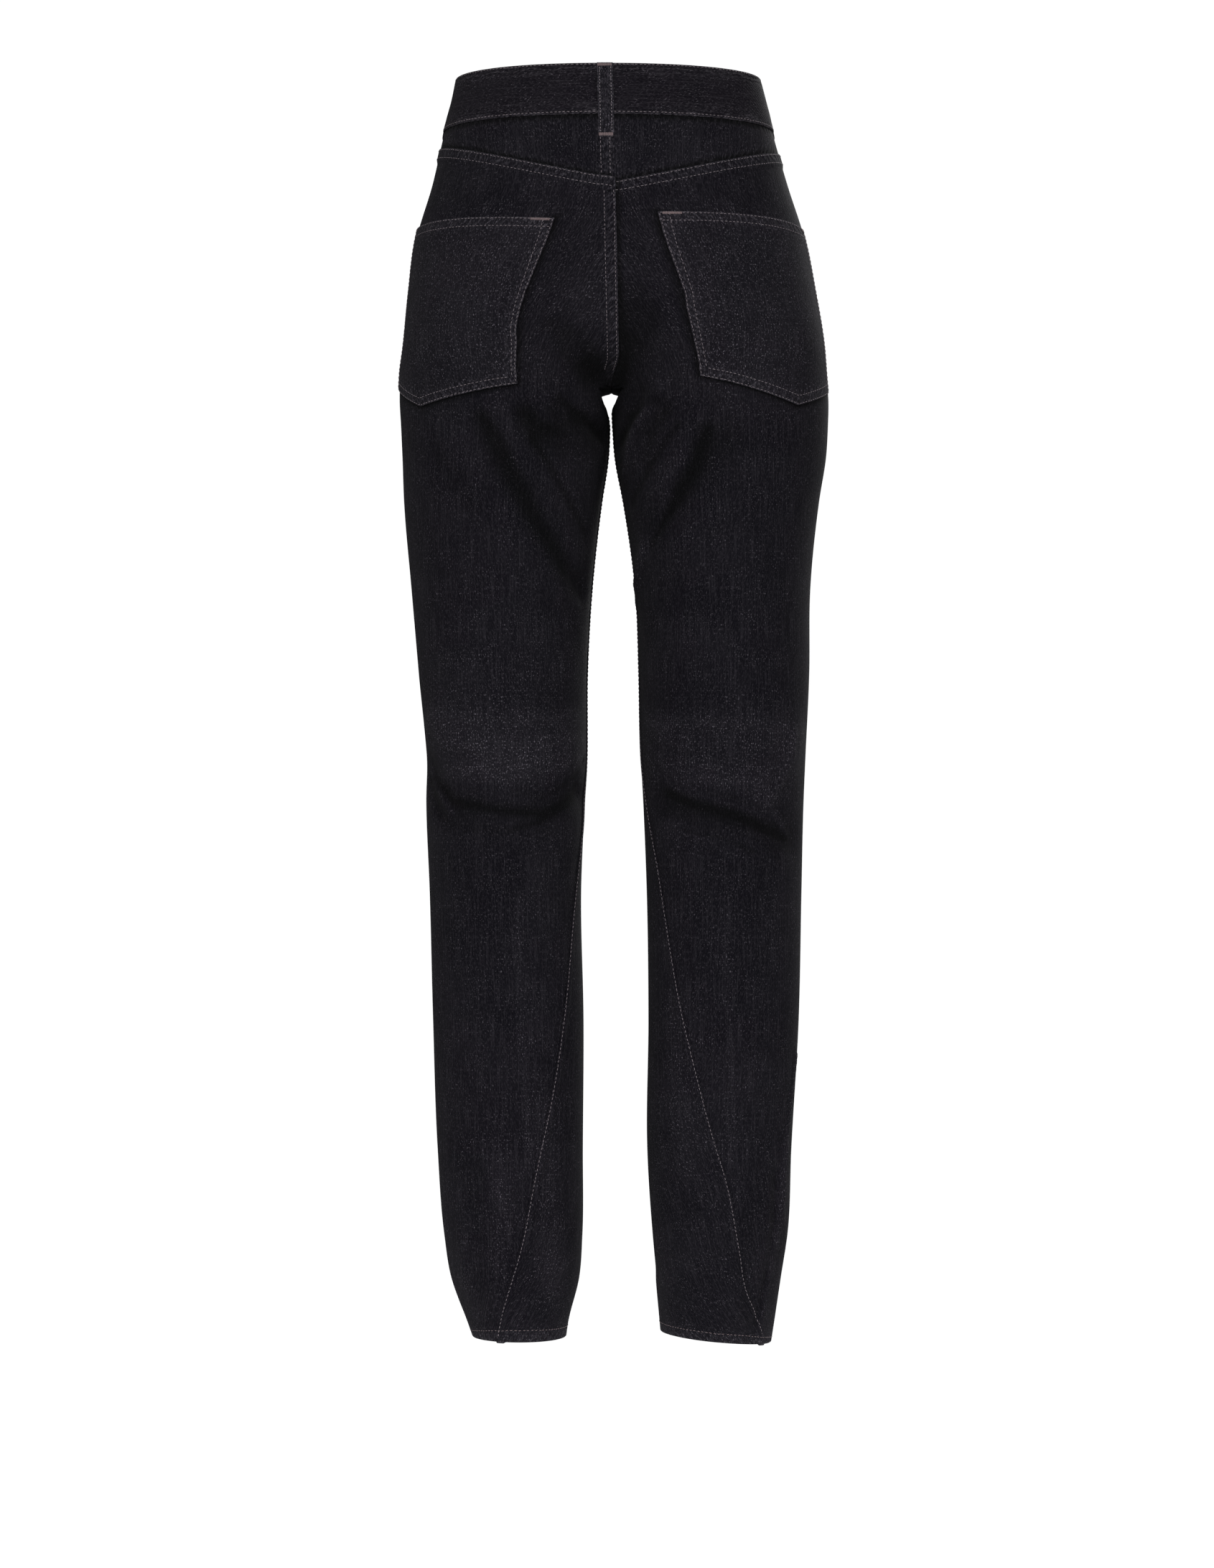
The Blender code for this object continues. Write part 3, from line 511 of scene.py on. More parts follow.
# Puckers slant across the strip beside each seam
PUCKER_WAVE = 2 * math.pi / 7.5
PUCKER_WANDER = 14.0
PUCKER_STRIP = (("near", 12.0, 4.0), ("clear", 0.4, 2.0))
PUCKERS = (("beside", "down", 0.8), ("level", "across", 0.6))

# What makes the cloth pale: the strength, whether it grows with wear, and one or two patterns,
# each counted from 0 at its first value to 1 at its second
PALENESS = (
    (0.16, True, ("flecks", 0.60, 0.76), ("worn", 0.0, 0.8)),
    (0.17, True, ("flecks", 0.62, 0.74), ("patches", 0.35, 0.7)),
    (0.016, True, ("weft", 0.50, 0.74), ("worn", 0.0, 0.8)),
    (0.075, False, ("edge", 1.5, 0.2), ("grain", 0.35, 0.65)),
    (0.045, False, ("puckers", 0.1, 0.9), ("grain", 0.4, 0.6)),
    (0.009, False, ("edge", 13.0, 10.0), ("grain", 0.42, 0.68)),
    (0.023, False, ("grain", 0.50, 0.72)),
    (0.016, False, ("slubs", 0.50, 0.70)),
    (0.004, False, ("ribs", 0.3, 1.0)),
    (0.008, False, ("worn", 0.0, 1.0)),
    (0.005, False, ("mottle", 0.40, 0.65)),
)
# The colour of the deepest painted shade: in creases, at the crotch and along lapped edges
DEEPEST_PAINTED_SHADE = "060607"
RELIEF = (("ribs", 0.14), ("slubs", 0.25), ("grain", 0.5), ("puckers", 0.4))


def srgb(code):
    """A hex colour as the linear colour that a shader takes."""
    values = [int(code[i:i + 2], 16) / 255 for i in (0, 2, 4)]
    linear = [v / 12.92 if v <= 0.04045 else ((v + 0.055) / 1.055) ** 2.4 for v in values]
    return (*linear, 1.0)


def add_node(tree, kind, inputs=None, **settings):
    """A node with its settings, and its sockets given values or linked."""
    node = tree.nodes.new(kind)
    for name, value in settings.items():
        setattr(node, name, value)
    for key, value in (inputs or {}).items():
        if isinstance(value, bpy.types.NodeSocket):
            tree.links.new(value, node.inputs[key])
        else:
            node.inputs[key].default_value = value
    return node


def new_finish(name, color, roughness, specular, sheen=0.0, metallic=0.0):
    """A material with its shader's plain values, ready for a pattern."""
    material = bpy.data.materials.new(name)
    material.use_nodes = True
    tree = material.node_tree
    shader = tree.nodes["Principled BSDF"]
    shader.inputs["Base Color"].default_value = srgb(color)
    shader.inputs["Roughness"].default_value = roughness
    shader.inputs["Specular IOR Level"].default_value = specular
    shader.inputs["Sheen Weight"].default_value = sheen
    shader.inputs["Sheen Roughness"].default_value = 0.6
    shader.inputs["Metallic"].default_value = metallic
    return material, tree, shader


def thread_patterns(tree, slope):
    """The patterns of the cloth as named sockets: what its points carry, then its threads."""
    cloth = add_node(tree, "ShaderNodeUVMap", uv_map="cloth").outputs["UV"]
    parts = add_node(tree, "ShaderNodeSeparateXYZ", {"Vector": cloth})
    found = {"across": parts.outputs["X"], "down": parts.outputs["Y"]}
    for name in ("beside", "level", "worn"):
        found[name] = add_node(tree, "ShaderNodeAttribute", attribute_name=name).outputs["Fac"]
    found["edge"] = add_node(tree, "ShaderNodeMath", {0: found["beside"], 1: found["level"]},
                             operation="MINIMUM").outputs[0]
    turned = add_node(tree, "ShaderNodeMapping", {"Vector": cloth, "Rotation": (0.0, 0.0, slope)})
    found["ribs"] = add_node(tree, "ShaderNodeTexWave", {
        "Vector": turned.outputs[0], "Scale": SPACING_AT_ONE / RIB_SPACING, "Distortion": 1.4,
        "Detail": 2.0, "Detail Scale": 1.4}, wave_type="BANDS", bands_direction="X").outputs["Fac"]
    for name, stretch, scale, detail in THREAD_NOISES:
        threads = add_node(tree, "ShaderNodeMapping", {"Vector": cloth, "Scale": stretch})
        found[name] = add_node(tree, "ShaderNodeTexNoise", {
            "Vector": threads.outputs[0], "Scale": scale, "Detail": detail}).outputs["Fac"]
    place = add_node(tree, "ShaderNodeTexCoord").outputs["Object"]
    found["mottle"] = add_node(tree, "ShaderNodeTexNoise", {
        "Vector": place, "Scale": 22.0, "Detail": 4.0}).outputs["Fac"]
    return found


def pucker_pattern(tree, found):
    """Slanting waves in a strip beside the sides, and in one beside the top and foot."""
    found = {**found, "puckers": 0.0}
    for edge, way, lean in PUCKERS:
        for name, low, high in PUCKER_STRIP:
            found[name] = add_node(tree, "ShaderNodeMapRange", {
                "Value": found[edge], "From Min": low, "From Max": high}).outputs["Result"]
        for name, operation, *values in (
            ("slant", "MULTIPLY_ADD", edge, lean, way),
            ("drift", "MULTIPLY", "wander", PUCKER_WANDER),
            ("phase", "MULTIPLY_ADD", "slant", PUCKER_WAVE, "drift"),
            ("wave", "SINE", "phase"),
            ("strip", "MULTIPLY", "near", "clear"),
            ("puckers", "MULTIPLY_ADD", "wave", "strip", "puckers"),
        ):
            inputs = {i: found.get(value, value) for i, value in enumerate(values)}
            found[name] = add_node(tree, "ShaderNodeMath", inputs, operation=operation).outputs[0]
    return found["puckers"]


def paleness(tree, found, wear):
    """How pale the cloth is, from all that makes it so; where shade is painted, in creases and
    along lapped edges, it stays dark.
    """
    total = 0.0
    for strength, grows, *ranges in PALENESS:
        share = strength * wear if grows else strength
        for pattern, low, high in ranges:
            counted = add_node(tree, "ShaderNodeMapRange", {
                "Value": found[pattern], "From Min": low, "From Max": high}).outputs["Result"]
            share = add_node(tree, "ShaderNodeMath", {0: counted, 1: share},
                             operation="MULTIPLY").outputs[0]
        total = add_node(tree, "ShaderNodeMath", {0: total, 1: share}, operation="ADD").outputs[0]
    lit = add_node(tree, "ShaderNodeMapRange", {
        "Value": found["worn"], "From Min": -1.3, "From Max": 0.0}).outputs["Result"]
    return add_node(tree, "ShaderNodeMath", {0: total, 1: lit}, operation="MULTIPLY",
                    use_clamp=True).outputs[0]


def denim(name, dark, pale, wear, slope):
    """Near-black cotton denim, ring-spun and garment-washed.

    The eye sees steep fine twill ribs, upright slubs, broken pale weft threads where it is worn,
    pale folded edges, and slanting puckers along the seams.
    """
    material, tree, shader = new_finish(name, dark, 0.92, 0.03, sheen=0.01)
    found = thread_patterns(tree, slope)
    found["puckers"] = pucker_pattern(tree, found)
    # Painted shade: below zero, the value that the cloth's points carry darkens the base colour
    # towards the colour of the deepest painted shade
    washed = add_node(tree, "ShaderNodeMapRange", {
        "Value": found["worn"], "From Min": -1.0, "From Max": 0.0}).outputs["Result"]
    base = add_node(tree, "ShaderNodeMix", {
        "Factor": washed, 6: srgb(DEEPEST_PAINTED_SHADE), 7: srgb(dark)}, data_type="RGBA").outputs[2]
    color = add_node(tree, "ShaderNodeMix", {
        "Factor": paleness(tree, found, wear), 6: base, 7: srgb(pale)},
        data_type="RGBA").outputs[2]
    tree.links.new(color, shader.inputs["Base Color"])
    height = 0.0
    for pattern, share in RELIEF:
        height = add_node(tree, "ShaderNodeMath", {0: found[pattern], 1: share, 2: height},
                          operation="MULTIPLY_ADD").outputs[0]
    add_relief(tree, shader, height, 1.0, 1.0)
    return material


def add_relief(tree, shader, height, strength, depth):
    """The fine relief of a surface, its depth in millimetres."""
    bump = add_node(tree, "ShaderNodeBump", {"Height": height, "Strength": strength,
                                             "Distance": depth * MM})
    tree.links.new(bump.outputs[0], shader.inputs["Normal"])


def thread(name, color):
    """Twisted polyester topstitching thread: matt, each stitch with a soft shaded turn."""
    material, tree, shader = new_finish(name, color, 0.75, 0.25)
    place = add_node(tree, "ShaderNodeTexCoord").outputs["Object"]
    # The plies are 0.25 mm apart, and show here as uneven paleness from stitch to stitch
    plies = add_node(tree, "ShaderNodeTexNoise", {"Vector": place, "Scale": 700.0, "Detail": 2.0})
    dark, pale = [(*(value * share for value in srgb(color)[:3]), 1.0) for share in (0.55, 1.35)]
    uneven = add_node(tree, "ShaderNodeMix", {
        "Factor": plies.outputs["Fac"], 6: dark, 7: pale}, data_type="RGBA").outputs[2]
    tree.links.new(uneven, shader.inputs["Base Color"])
    add_relief(tree, shader, plies.outputs["Fac"], 0.5, 0.2)
    return material


def antique_brass():
    """Tumbled antique brass: brown in its hollows and rubbed bright on its edges."""
    material, tree, shader = new_finish("antique_brass", "8A6A45", 0.42, 0.5, metallic=1.0)
    place = add_node(tree, "ShaderNodeTexCoord").outputs["Object"]
    # Tarnish comes in patches of 1 to 2 mm
    tarnish = add_node(tree, "ShaderNodeTexNoise", {"Vector": place, "Scale": 600.0,
                                                    "Detail": 4.0}).outputs["Fac"]
    color = add_node(tree, "ShaderNodeMix", {"Factor": tarnish, 6: srgb("5A4530"),
                                             7: srgb("A98A5E")}, data_type="RGBA").outputs[2]
    rough = add_node(tree, "ShaderNodeMapRange", {"Value": tarnish, "To Min": 0.55,
                                                  "To Max": 0.32}).outputs["Result"]
    tree.links.new(color, shader.inputs["Base Color"])
    tree.links.new(rough, shader.inputs["Roughness"])
    return material


def zip_tape_finish():
    """Woven black polyester tape, with a fine ribbed face."""
    material, tree, shader = new_finish("zip_tape", "1A1A1C", 0.85, 0.2)
    cloth = add_node(tree, "ShaderNodeUVMap", uv_map="cloth").outputs["UV"]
    # Ribs of 1 mm run down the tape
    ribs = add_node(tree, "ShaderNodeTexWave", {"Vector": cloth, "Scale": SPACING_AT_ONE},
                    wave_type="BANDS", bands_direction="X").outputs["Fac"]
    add_relief(tree, shader, ribs, 0.5, 0.2)
    return material


TWILL_LEFT = math.radians(-24.0)
TWILL_RIGHT = math.radians(24.0)
face_denim = denim("washed_black_denim", "0A090E", "ADA6B2", 1.0, TWILL_LEFT)
band_denim = denim("washed_black_denim_turned", "0B090E", "ADA6B0", 1.0, TWILL_RIGHT)
reverse_denim = denim("washed_black_denim_reverse", "242226", "A5A1A3", 0.5, TWILL_RIGHT)
topstitch = thread("taupe_topstitch_thread", "6E666A")
hem_thread = thread("mauve_hem_thread", "6A5E60")
loop_thread = thread("pale_loop_thread", "787175")
tack_thread = thread("copper_bar_tack_thread", "67595A")
brass = antique_brass()
tape_finish = zip_tape_finish()

# Cloth

CLOTH = 1.0
BAND_WALL = 2.4
BAND_HEIGHT = 43.0
BAND_OUT = 1.5
LOOP_WALL = 1.6
PITCH = 2.7
PLAIN_BESIDE = 14.0
PLAIN_FADE = 20.0
END_SHARE = 0.45
THINNEST = 0.02
FULL_WALL = 0.999
NUDGE = 0.5
CREASE_DEPTH = 6.0
DARKEST_CREASE_SHADE = -0.6
PALEST_RIDGE = 0.35
LITTLE_WORN = 0.1
EDGE_STEPS = (0.0, 0.15, 0.4, 0.8, 1.4, 2.6, 3.8, 5.0, 6.2, 7.4, 8.6, 9.8, 11.0, 12.2, 13.4)

# Lapped seams: how far the upper piece stands up, and over what width
RAISE = 1.08
LAP_SLOPE = 2.5
CENTRE_BAND = 11.5
YOKE_STRIP = 9.5
INSEAM_BAND = 6.0
INSEAM_LAP = 1.6
UNDERLAP = 1.5
SIDE_GAP = 0.12
SIDE_UNDER = 1.4
SIDE_DIP = 0.9
SIDE_RIDGE = 0.3
SIDE_RIDGE_WIDTH = 7.0
TUCK = 4.0
CENTRE_FADE = (226.0, 22.0)
GUSSET_SHARE = 0.9
GUSSET_HOLD = 6.0
GUSSET_DROP = 110.0
INSEAM_FADE = (256.0, 10.0)
PAST_CENTRE = {("back", "left"): 6.5, ("back", "right"): 1.5,
               ("front", "left"): 6.0, ("front", "right"): 1.5}
YOKE_PAST_CENTRE = {"left": 4.0, "right": 1.5}
YOKE_UNDER = 3.0

# Turned hem
HEM_ROLL = 1.1
HEM_DEPTH = 11.0
ROLL_STEPS = 7
HEM_ROW = 10.0
HEM_WEAR = 0.6

# Levels down a panel are drops, except near its top, where they fan out to its shaped edge
PANEL_TOP = 60.0
TOP_ZONE = 150.0


ALL_EDGES = ("left", "right", "top", "foot")

# A sheet of cloth: its object, and the points, normals and edge distances of its grid
Cloth = namedtuple("Cloth", "piece points normals arcs")


def fine_ends(length, pitch, steps=EDGE_STEPS):
    """Distances over a length, a pitch apart, and closer together at the two folded ends."""
    steps = np.array([step for step in steps if step < length * END_SHARE])
    count = max(2, round((length - 2 * steps[-1]) / pitch))
    inside = np.linspace(steps[-1], length - steps[-1], count + 1)[1:-1]
    return np.concatenate([steps, inside, length - steps[::-1]])


def edge_distances(points):
    """How far each point of a grid lies from the grid's four edges, along the cloth."""
    across = np.linalg.norm(np.diff(points, axis=1), axis=-1)
    down = np.linalg.norm(np.diff(points, axis=0), axis=-1)
    left = np.pad(np.cumsum(across, axis=1), ((0, 0), (1, 0)))
    top = np.pad(np.cumsum(down, axis=0), ((1, 0), (0, 0)))
    return {"left": left, "right": left[:, -1:] - left, "top": top, "foot": top[-1:] - top}


def grid_normals(points, way_out):
    """The normals of a grid of points, on the side that way_out points to."""
    across = np.gradient(points, axis=1)
    down = np.gradient(points, axis=0)
    normals = np.cross(down, across)
    normals /= np.maximum(np.linalg.norm(normals, axis=-1, keepdims=True), 1e-9)
    side = np.sign(np.sum(normals * way_out, axis=-1).mean())
    return normals * side, side


def wall_share(arcs, wall, folded):
    """The share of the wall left beside the folded edges, so that each edge comes out round."""
    share = np.ones(arcs["left"].shape)
    for edge in folded:
        t = np.clip(1 - arcs[edge] / (wall / 2), 0.0, 1.0)
        share = np.minimum(share, np.sqrt(np.clip(1 - t ** 2, THINNEST, 1)))
    return share


def flat_grid(name, columns, rows):
    """A flat grid, and the column and the row of each of its points."""
    bpy.ops.mesh.primitive_grid_add(x_subdivisions=columns - 1, y_subdivisions=rows - 1, size=1.0)
    piece = bpy.context.object
    piece.name = f"worn_{name}"
    piece.data.name = piece.name
    flat = np.zeros(len(piece.data.vertices) * 3)
    piece.data.vertices.foreach_get("co", flat)
    flat = flat.reshape(-1, 3)
    across = np.rint((flat[:, 0] + 0.5) * (columns - 1)).astype(int)
    down = np.rint((0.5 - flat[:, 1]) * (rows - 1)).astype(int)
    return piece, across, down


def give_wall(piece, weights, wall, finishes):
    """The sheet's wall, thinner where its weights are below 1, with the last finish inside."""
    group = piece.vertex_groups.new(name="wall")
    group.add(np.flatnonzero(weights >= FULL_WALL).tolist(), 1.0, "REPLACE")
    for index in np.flatnonzero(weights < FULL_WALL).tolist():
        group.add([index], float(weights[index]), "REPLACE")
    for finish in finishes:
        piece.data.materials.append(finish)
    thicken = piece.modifiers.new("wall", "SOLIDIFY")
    thicken.thickness = wall * MM
    thicken.offset = -1
    thicken.vertex_group = "wall"
    thicken.material_offset = len(finishes) - 1
    bpy.ops.object.modifier_apply(modifier="wall")
    bpy.ops.object.shade_smooth()


def cut_cloth(name, columns, rows, place, lift, wall, finishes, folded, threads, worn, hem=None,
              plain_from=math.inf):
    """A sheet of cloth as a fine grid, laid on the worn form and given its wall.

    place(column, row, out) gives points, lift(arcs, column, row) how far the face stands out,
    threads(arcs, points, column, row) the millimetres across and along the threads, and
    worn(column, row) how much wear pales it, and below zero how much painted shade
    darkens it. hem is the distance from the foot to a turned-up edge, and plain_from the drop
    below which its side edges lie flat, without puckers or paleness.
    """
    piece, across, down = flat_grid(name, len(columns), len(rows))
    mesh = piece.data
    column, row = np.meshgrid(columns, rows)
    arcs = edge_distances(place(column, row, np.zeros(column.shape)))
    left_wall = wall_share(arcs, wall, folded)
    out = lift(arcs, column, row) - (1 - left_wall) * wall / 2
    points = place(column, row, out)
    normals, side = grid_normals(points, place(column, row, out + NUDGE) - points)
    mesh.vertices.foreach_set("co", (points[down, across] * MM).ravel())
    # The grid's own faces look along across x up, which is down x across
    if side < 0:
        mesh.flip_normals()
    corners = np.zeros(len(mesh.loops), int)
    mesh.loops.foreach_get("vertex_index", corners)
    woven = threads(arcs, points, column, row)[:, down, across].T[corners]
    mesh.uv_layers[0].name = "cloth"
    mesh.uv_layers[0].data.foreach_set("uv", woven.ravel())
    turned = arcs["foot"] if hem is None else np.abs(arcs["foot"] - hem)
    flatter = PLAIN_BESIDE * ease((-points[..., 2] - plain_from) / PLAIN_FADE)
    for attribute, values in (("beside", np.minimum(arcs["left"], arcs["right"]) + flatter),
                              ("level", np.minimum(arcs["top"], turned)),
                              ("worn", worn(column, row))):
        values = np.asarray(values[down, across], float)
        mesh.attributes.new(attribute, "FLOAT", "POINT").data.foreach_set("value", values)
    give_wall(piece, left_wall[down, across], wall, finishes)
    return Cloth(piece, points, normals, arcs)


def strip(distance, width):
    """A doubled strip beside an edge: 1 on it, with a soft step down at its far side."""
    return ease((width + LAP_SLOPE - distance) / LAP_SLOPE)


def wear_and_shade_at(leg, turn, drop):
    """How much wear pales the cloth at places on a leg, up to 1; below zero it is painted shade,
    down to -1 in its deepest creases.
    """
    # Fold troughs become painted shade, and fold ridges rubbed, paler wear
    ridges = painted(FOLDS, FOLD_COLUMNS, leg, turn, drop) / CREASE_DEPTH
    ridges = np.clip(ridges, DARKEST_CREASE_SHADE, PALEST_RIDGE)
    return np.clip(painted(WEAR_AND_SHADE, WEAR_AND_SHADE_COLUMNS, leg, turn, drop) + ridges, -1.0, 1.0)


def little_worn(column, row):
    """The even wear of cloth that nothing rubs."""
    return np.full(column.shape, LITTLE_WORN)


def measured(cloth):
    """The width, length and area of a cloth laid flat, in metres."""
    arcs = cloth.arcs
    width = arcs["left"][:, -1].max() * MM
    length = arcs["top"][-1].max() * MM
    across = np.diff(arcs["left"], axis=1)
    down = np.diff(arcs["top"], axis=0)
    cells = (across[1:] + across[:-1]) / 2 * (down[:, 1:] + down[:, :-1]) / 2
    return width, length, cells.sum() * MM ** 2


def declared(cloth, nodes):
    """The cloth rides on the garment and stands for its CAD nodes; its cut size is measured."""
    width, length, area = measured(cloth)
    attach(cloth.piece, "root")
    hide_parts(*nodes)
    min(area, width * length)


# Panels of the legs

PANEL_WIDTH = 200.0
MOUTH_EASE = 8.0
INWARD_CURVE = 1.4
TOP_STEPS_STRETCH = 1.3
SEAT_ROWS = (PANEL_TOP + 20.5, 246.0, PITCH * 0.8)
CROTCH_ROWS = (246.0, 260.0, 0.6)
LEG_ROWS = (260.0, HEM - HEM_ROLL - 2.0, PITCH)
HEM_ROWS = 5
YOKE_WIDTH = 205.0
YOKE_ROWS = 26
YOKE_BAND = 9.0
YOKE_WEAR = 0.05
YOKE_END = 0.5
YOKE_END_EASE = 2.0
LAP_EDGE = 1.0


def lap_left(drop):
    """The share of the centre seam's lap at a drop: it narrows to nothing at the crotch."""
    return 1 - ease((drop - CENTRE_FADE[0]) / CENTRE_FADE[1])


def inseam_lap(drop):
    """The share of the inseam's lap at a drop: it starts below the crotch."""
    return ease((drop - INSEAM_FADE[0]) / INSEAM_FADE[1])


def inner_edge(leg, face, drop, past_centre):
    """The turn of a panel's inner edge: past the centre seam, then past the inseam."""
    centre_seam = turn_at(leg, np.minimum(drop, CROTCH), -past_centre * lap_left(drop), face)
    lap = (INSEAM_LAP if face == "front" else -UNDERLAP) * inseam_lap(drop)
    inseam = 180.0 - twist(leg, drop) - angle_of(lap, leg, drop)
    return np.where(drop < CROTCH, centre_seam, inseam)


def outer_edge(leg, face, drop):
    """The turn of a panel's outer edge, at the side seam."""
    if face == "back":
        return side_seam(leg, drop) + angle_of(SIDE_GAP, leg, drop)
    return 360.0 + side_seam(leg, drop) + angle_of(SIDE_UNDER, leg, drop)


def panel_top(leg, face, share):
    """The drop of a panel's top edge, from its side seam (0) to its centre (1)."""
    if face == "back":
        return yoke_line(leg, between(SIDE_SEAM, 90.0, share))
    turn = between(360.0 + SIDE_SEAM, 270.0, share)
    mouth = scoop_line(turn)
    return mouth - TUCK * (1 - ease((mouth - band_line(turn)) / MOUTH_EASE))


def panel_drop(leg, face, share, level):
    """The drop of a panel's face at a level, before its hem is turned."""
    top = panel_top(leg, face, share)
    fanned = between(top, TOP_ZONE, (level - PANEL_TOP) / (TOP_ZONE - PANEL_TOP))
    return np.where(level < TOP_ZONE, fanned, np.minimum(level, HEM - HEM_ROLL))


def panel_turn(leg, face, share, drop):
    """The turn of a panel's point. Just below the crotch its last columns alone go on inwards."""
    outer = outer_edge(leg, face, drop)
    inner = inner_edge(leg, face, drop, PAST_CENTRE[face, leg])
    at_crotch = turn_at(leg, CROTCH, 0.0, face)
    kept = 1 - ease((drop - CROTCH - GUSSET_HOLD) / GUSSET_DROP)
    inwards = np.clip((share - GUSSET_SHARE) / (1 - GUSSET_SHARE), 0.0, 1.0) ** INWARD_CURVE
    below = between(outer, at_crotch, share) + (inner - at_crotch) * between(share, inwards, kept)
    return np.where(drop < CROTCH, between(outer, inner, share), below)


POCKETS = {
    "left": {"inner": (81.5, 86.5, 95.5), "outer": (5.0, 3.0, 8.0), "top": (117.4, 117.0),
             "foot": (250.5, 251.0), "point": (0.38, 267.5)},
    "right": {"inner": (82.0, 89.5, 98.0), "outer": (9.0, 9.0, 12.0), "top": (118.9, 111.5),
              "foot": (254.0, 244.5), "point": (0.43, 267.0)},
}
POCKET_RISE = 2.5
OUTLINE_STEPS = 9
# The painted shadow along lapped edges: its width and its strength
SHADED = 3.2
LAP_SHADOW_STRENGTH = 1.1


def pocket_spot(leg, across, down):
    """The turn and drop of a point of a back pocket."""
    shape = POCKETS[leg]
    knots = [0.0, 0.5, 1.0]
    outer = smooth(knots, shape["outer"], down)
    turn = between(outer, smooth(knots, shape["inner"], down), across)
    top = between(*shape["top"], across) - POCKET_RISE * np.sin(math.pi * across)
    corner = between(*shape["foot"], across)
    share, point = shape["point"]
    fall = point - between(*shape["foot"], share)
    foot = corner + fall * np.interp(across, (0.0, share, 1.0), (0.0, 1.0, 0.0))
    return turn, top + (foot - top) * down


def pocket_outline(leg):
    """The path round a back pocket, from its outer top corner to its inner one."""
    steps = np.linspace(0.0, 1.0, OUTLINE_STEPS)
    point = POCKETS[leg]["point"][0]
    places = [(0.0, step) for step in steps] + [(point, 1.0)]
    places += [(1.0, step) for step in steps[::-1]]
    return [tuple(float(value) for value in pocket_spot(leg, *place)) for place in places]


def painted_lap_shadow(away):
    """A painted shadow: the dark line on the cloth along a lapped edge."""
    return LAP_SHADOW_STRENGTH * np.exp(-(away / SHADED) ** 2)


def rising(turns, lengths):
    """The two lists in the order of rising turns."""
    if turns[0] > turns[-1]:
        return turns[::-1], lengths[::-1]
    return turns, lengths


def straight_threads(arcs, points, turn, straight):
    """The millimetres across from the turn where the threads hang straight, and along them."""
    start = [np.interp(straight, *rising(*pair)) for pair in zip(turn, arcs["left"])]
    return np.stack([arcs["left"] - np.array(start)[:, None], points[..., 2]])


def make_panel(leg, face):
    """A leg panel from the waist to its turned-up hem."""
    outline = pocket_outline(leg)

    def place(share, level, out):
        past = np.clip(level - (HEM - HEM_ROLL), 0.0, None)
        bend = np.minimum(past / HEM_ROLL, math.pi)
        raised = np.clip(past - math.pi * HEM_ROLL, 0.0, None)
        drop = panel_drop(leg, face, share, level) + (HEM_ROLL + out) * np.sin(bend) - raised
        out = out * np.cos(bend) - HEM_ROLL * (1 - np.cos(bend))
        turn = panel_turn(leg, face, share, drop)
        low = ease((drop - HEM_TILT_START) / (HEM - HEM_TILT_START))
        tilt = HEM_TILT[leg] * np.cos(np.radians(turn)) * low
        return on_leg(leg, turn, drop + tilt, out)

    def lift(arcs, share, level):
        drop = panel_drop(leg, face, share, level)
        out = SIDE_RIDGE * strip(arcs["left"], SIDE_RIDGE_WIDTH)
        if leg == "left":
            out = out + RAISE * strip(arcs["right"], CENTRE_BAND) * lap_left(drop)
        if face == "front":
            out = out - SIDE_DIP * ease((SIDE_UNDER + SIDE_DIP - arcs["left"]) / SIDE_DIP)
            out = out + RAISE * strip(arcs["right"], INSEAM_BAND) * inseam_lap(drop)
        else:
            out = out + RAISE * strip(arcs["top"], YOKE_STRIP)
        return out

    def threads(arcs, points, share, level):
        turn = panel_turn(leg, face, share, panel_drop(leg, face, share, level))
        return straight_threads(arcs, points, turn, 90.0 if face == "back" else 270.0)

    def worn(share, level):
        drop = panel_drop(leg, face, share, level)
        turn = panel_turn(leg, face, share, drop)
        shares = wear_and_shade_at(leg, turn, drop) + HEM_WEAR * np.exp(-((HEM - drop) / HEM_ROW) ** 2)
        # Painted shadow on the back panel round the back pocket's edges
        if face == "back":
            _, _, outer, _, depth, _ = section(leg, drop)
            shares = shares - painted_lap_shadow(distance_to(outline, turn, drop, (outer + depth) / 2))
        # Painted shadow on the right back panel beside the left panel's lapped centre seam
        if face == "back" and leg == "right":
            across = bare_point(leg, turn, drop)[..., 0] - middle(leg, drop)
            lapped = painted_lap_shadow(across - PAST_CENTRE["back", "left"] - LAP_EDGE)
            shares = shares - np.where(drop < CROTCH, lapped, 0.0)
        return np.clip(shares, -1.0, 1.0)

    columns = fine_ends(PANEL_WIDTH, PITCH) / PANEL_WIDTH
    roll = HEM - HEM_ROLL + np.linspace(0.0, math.pi * HEM_ROLL, ROLL_STEPS + 1)
    rows = np.concatenate([
        PANEL_TOP + np.array(EDGE_STEPS) * TOP_STEPS_STRETCH,
        np.arange(*SEAT_ROWS),
        np.arange(*CROTCH_ROWS),
        np.arange(*LEG_ROWS),
        roll,
        roll[-1] + np.linspace(0.0, HEM_DEPTH, HEM_ROWS)[1:],
    ])
    hem = HEM_DEPTH + math.pi * HEM_ROLL / 2
    return cut_cloth(f"{face}_{leg}", columns, rows, place, lift, CLOTH,
                     (face_denim, reverse_denim), ("left", "right", "top"), threads, worn, hem,
                     CROTCH)


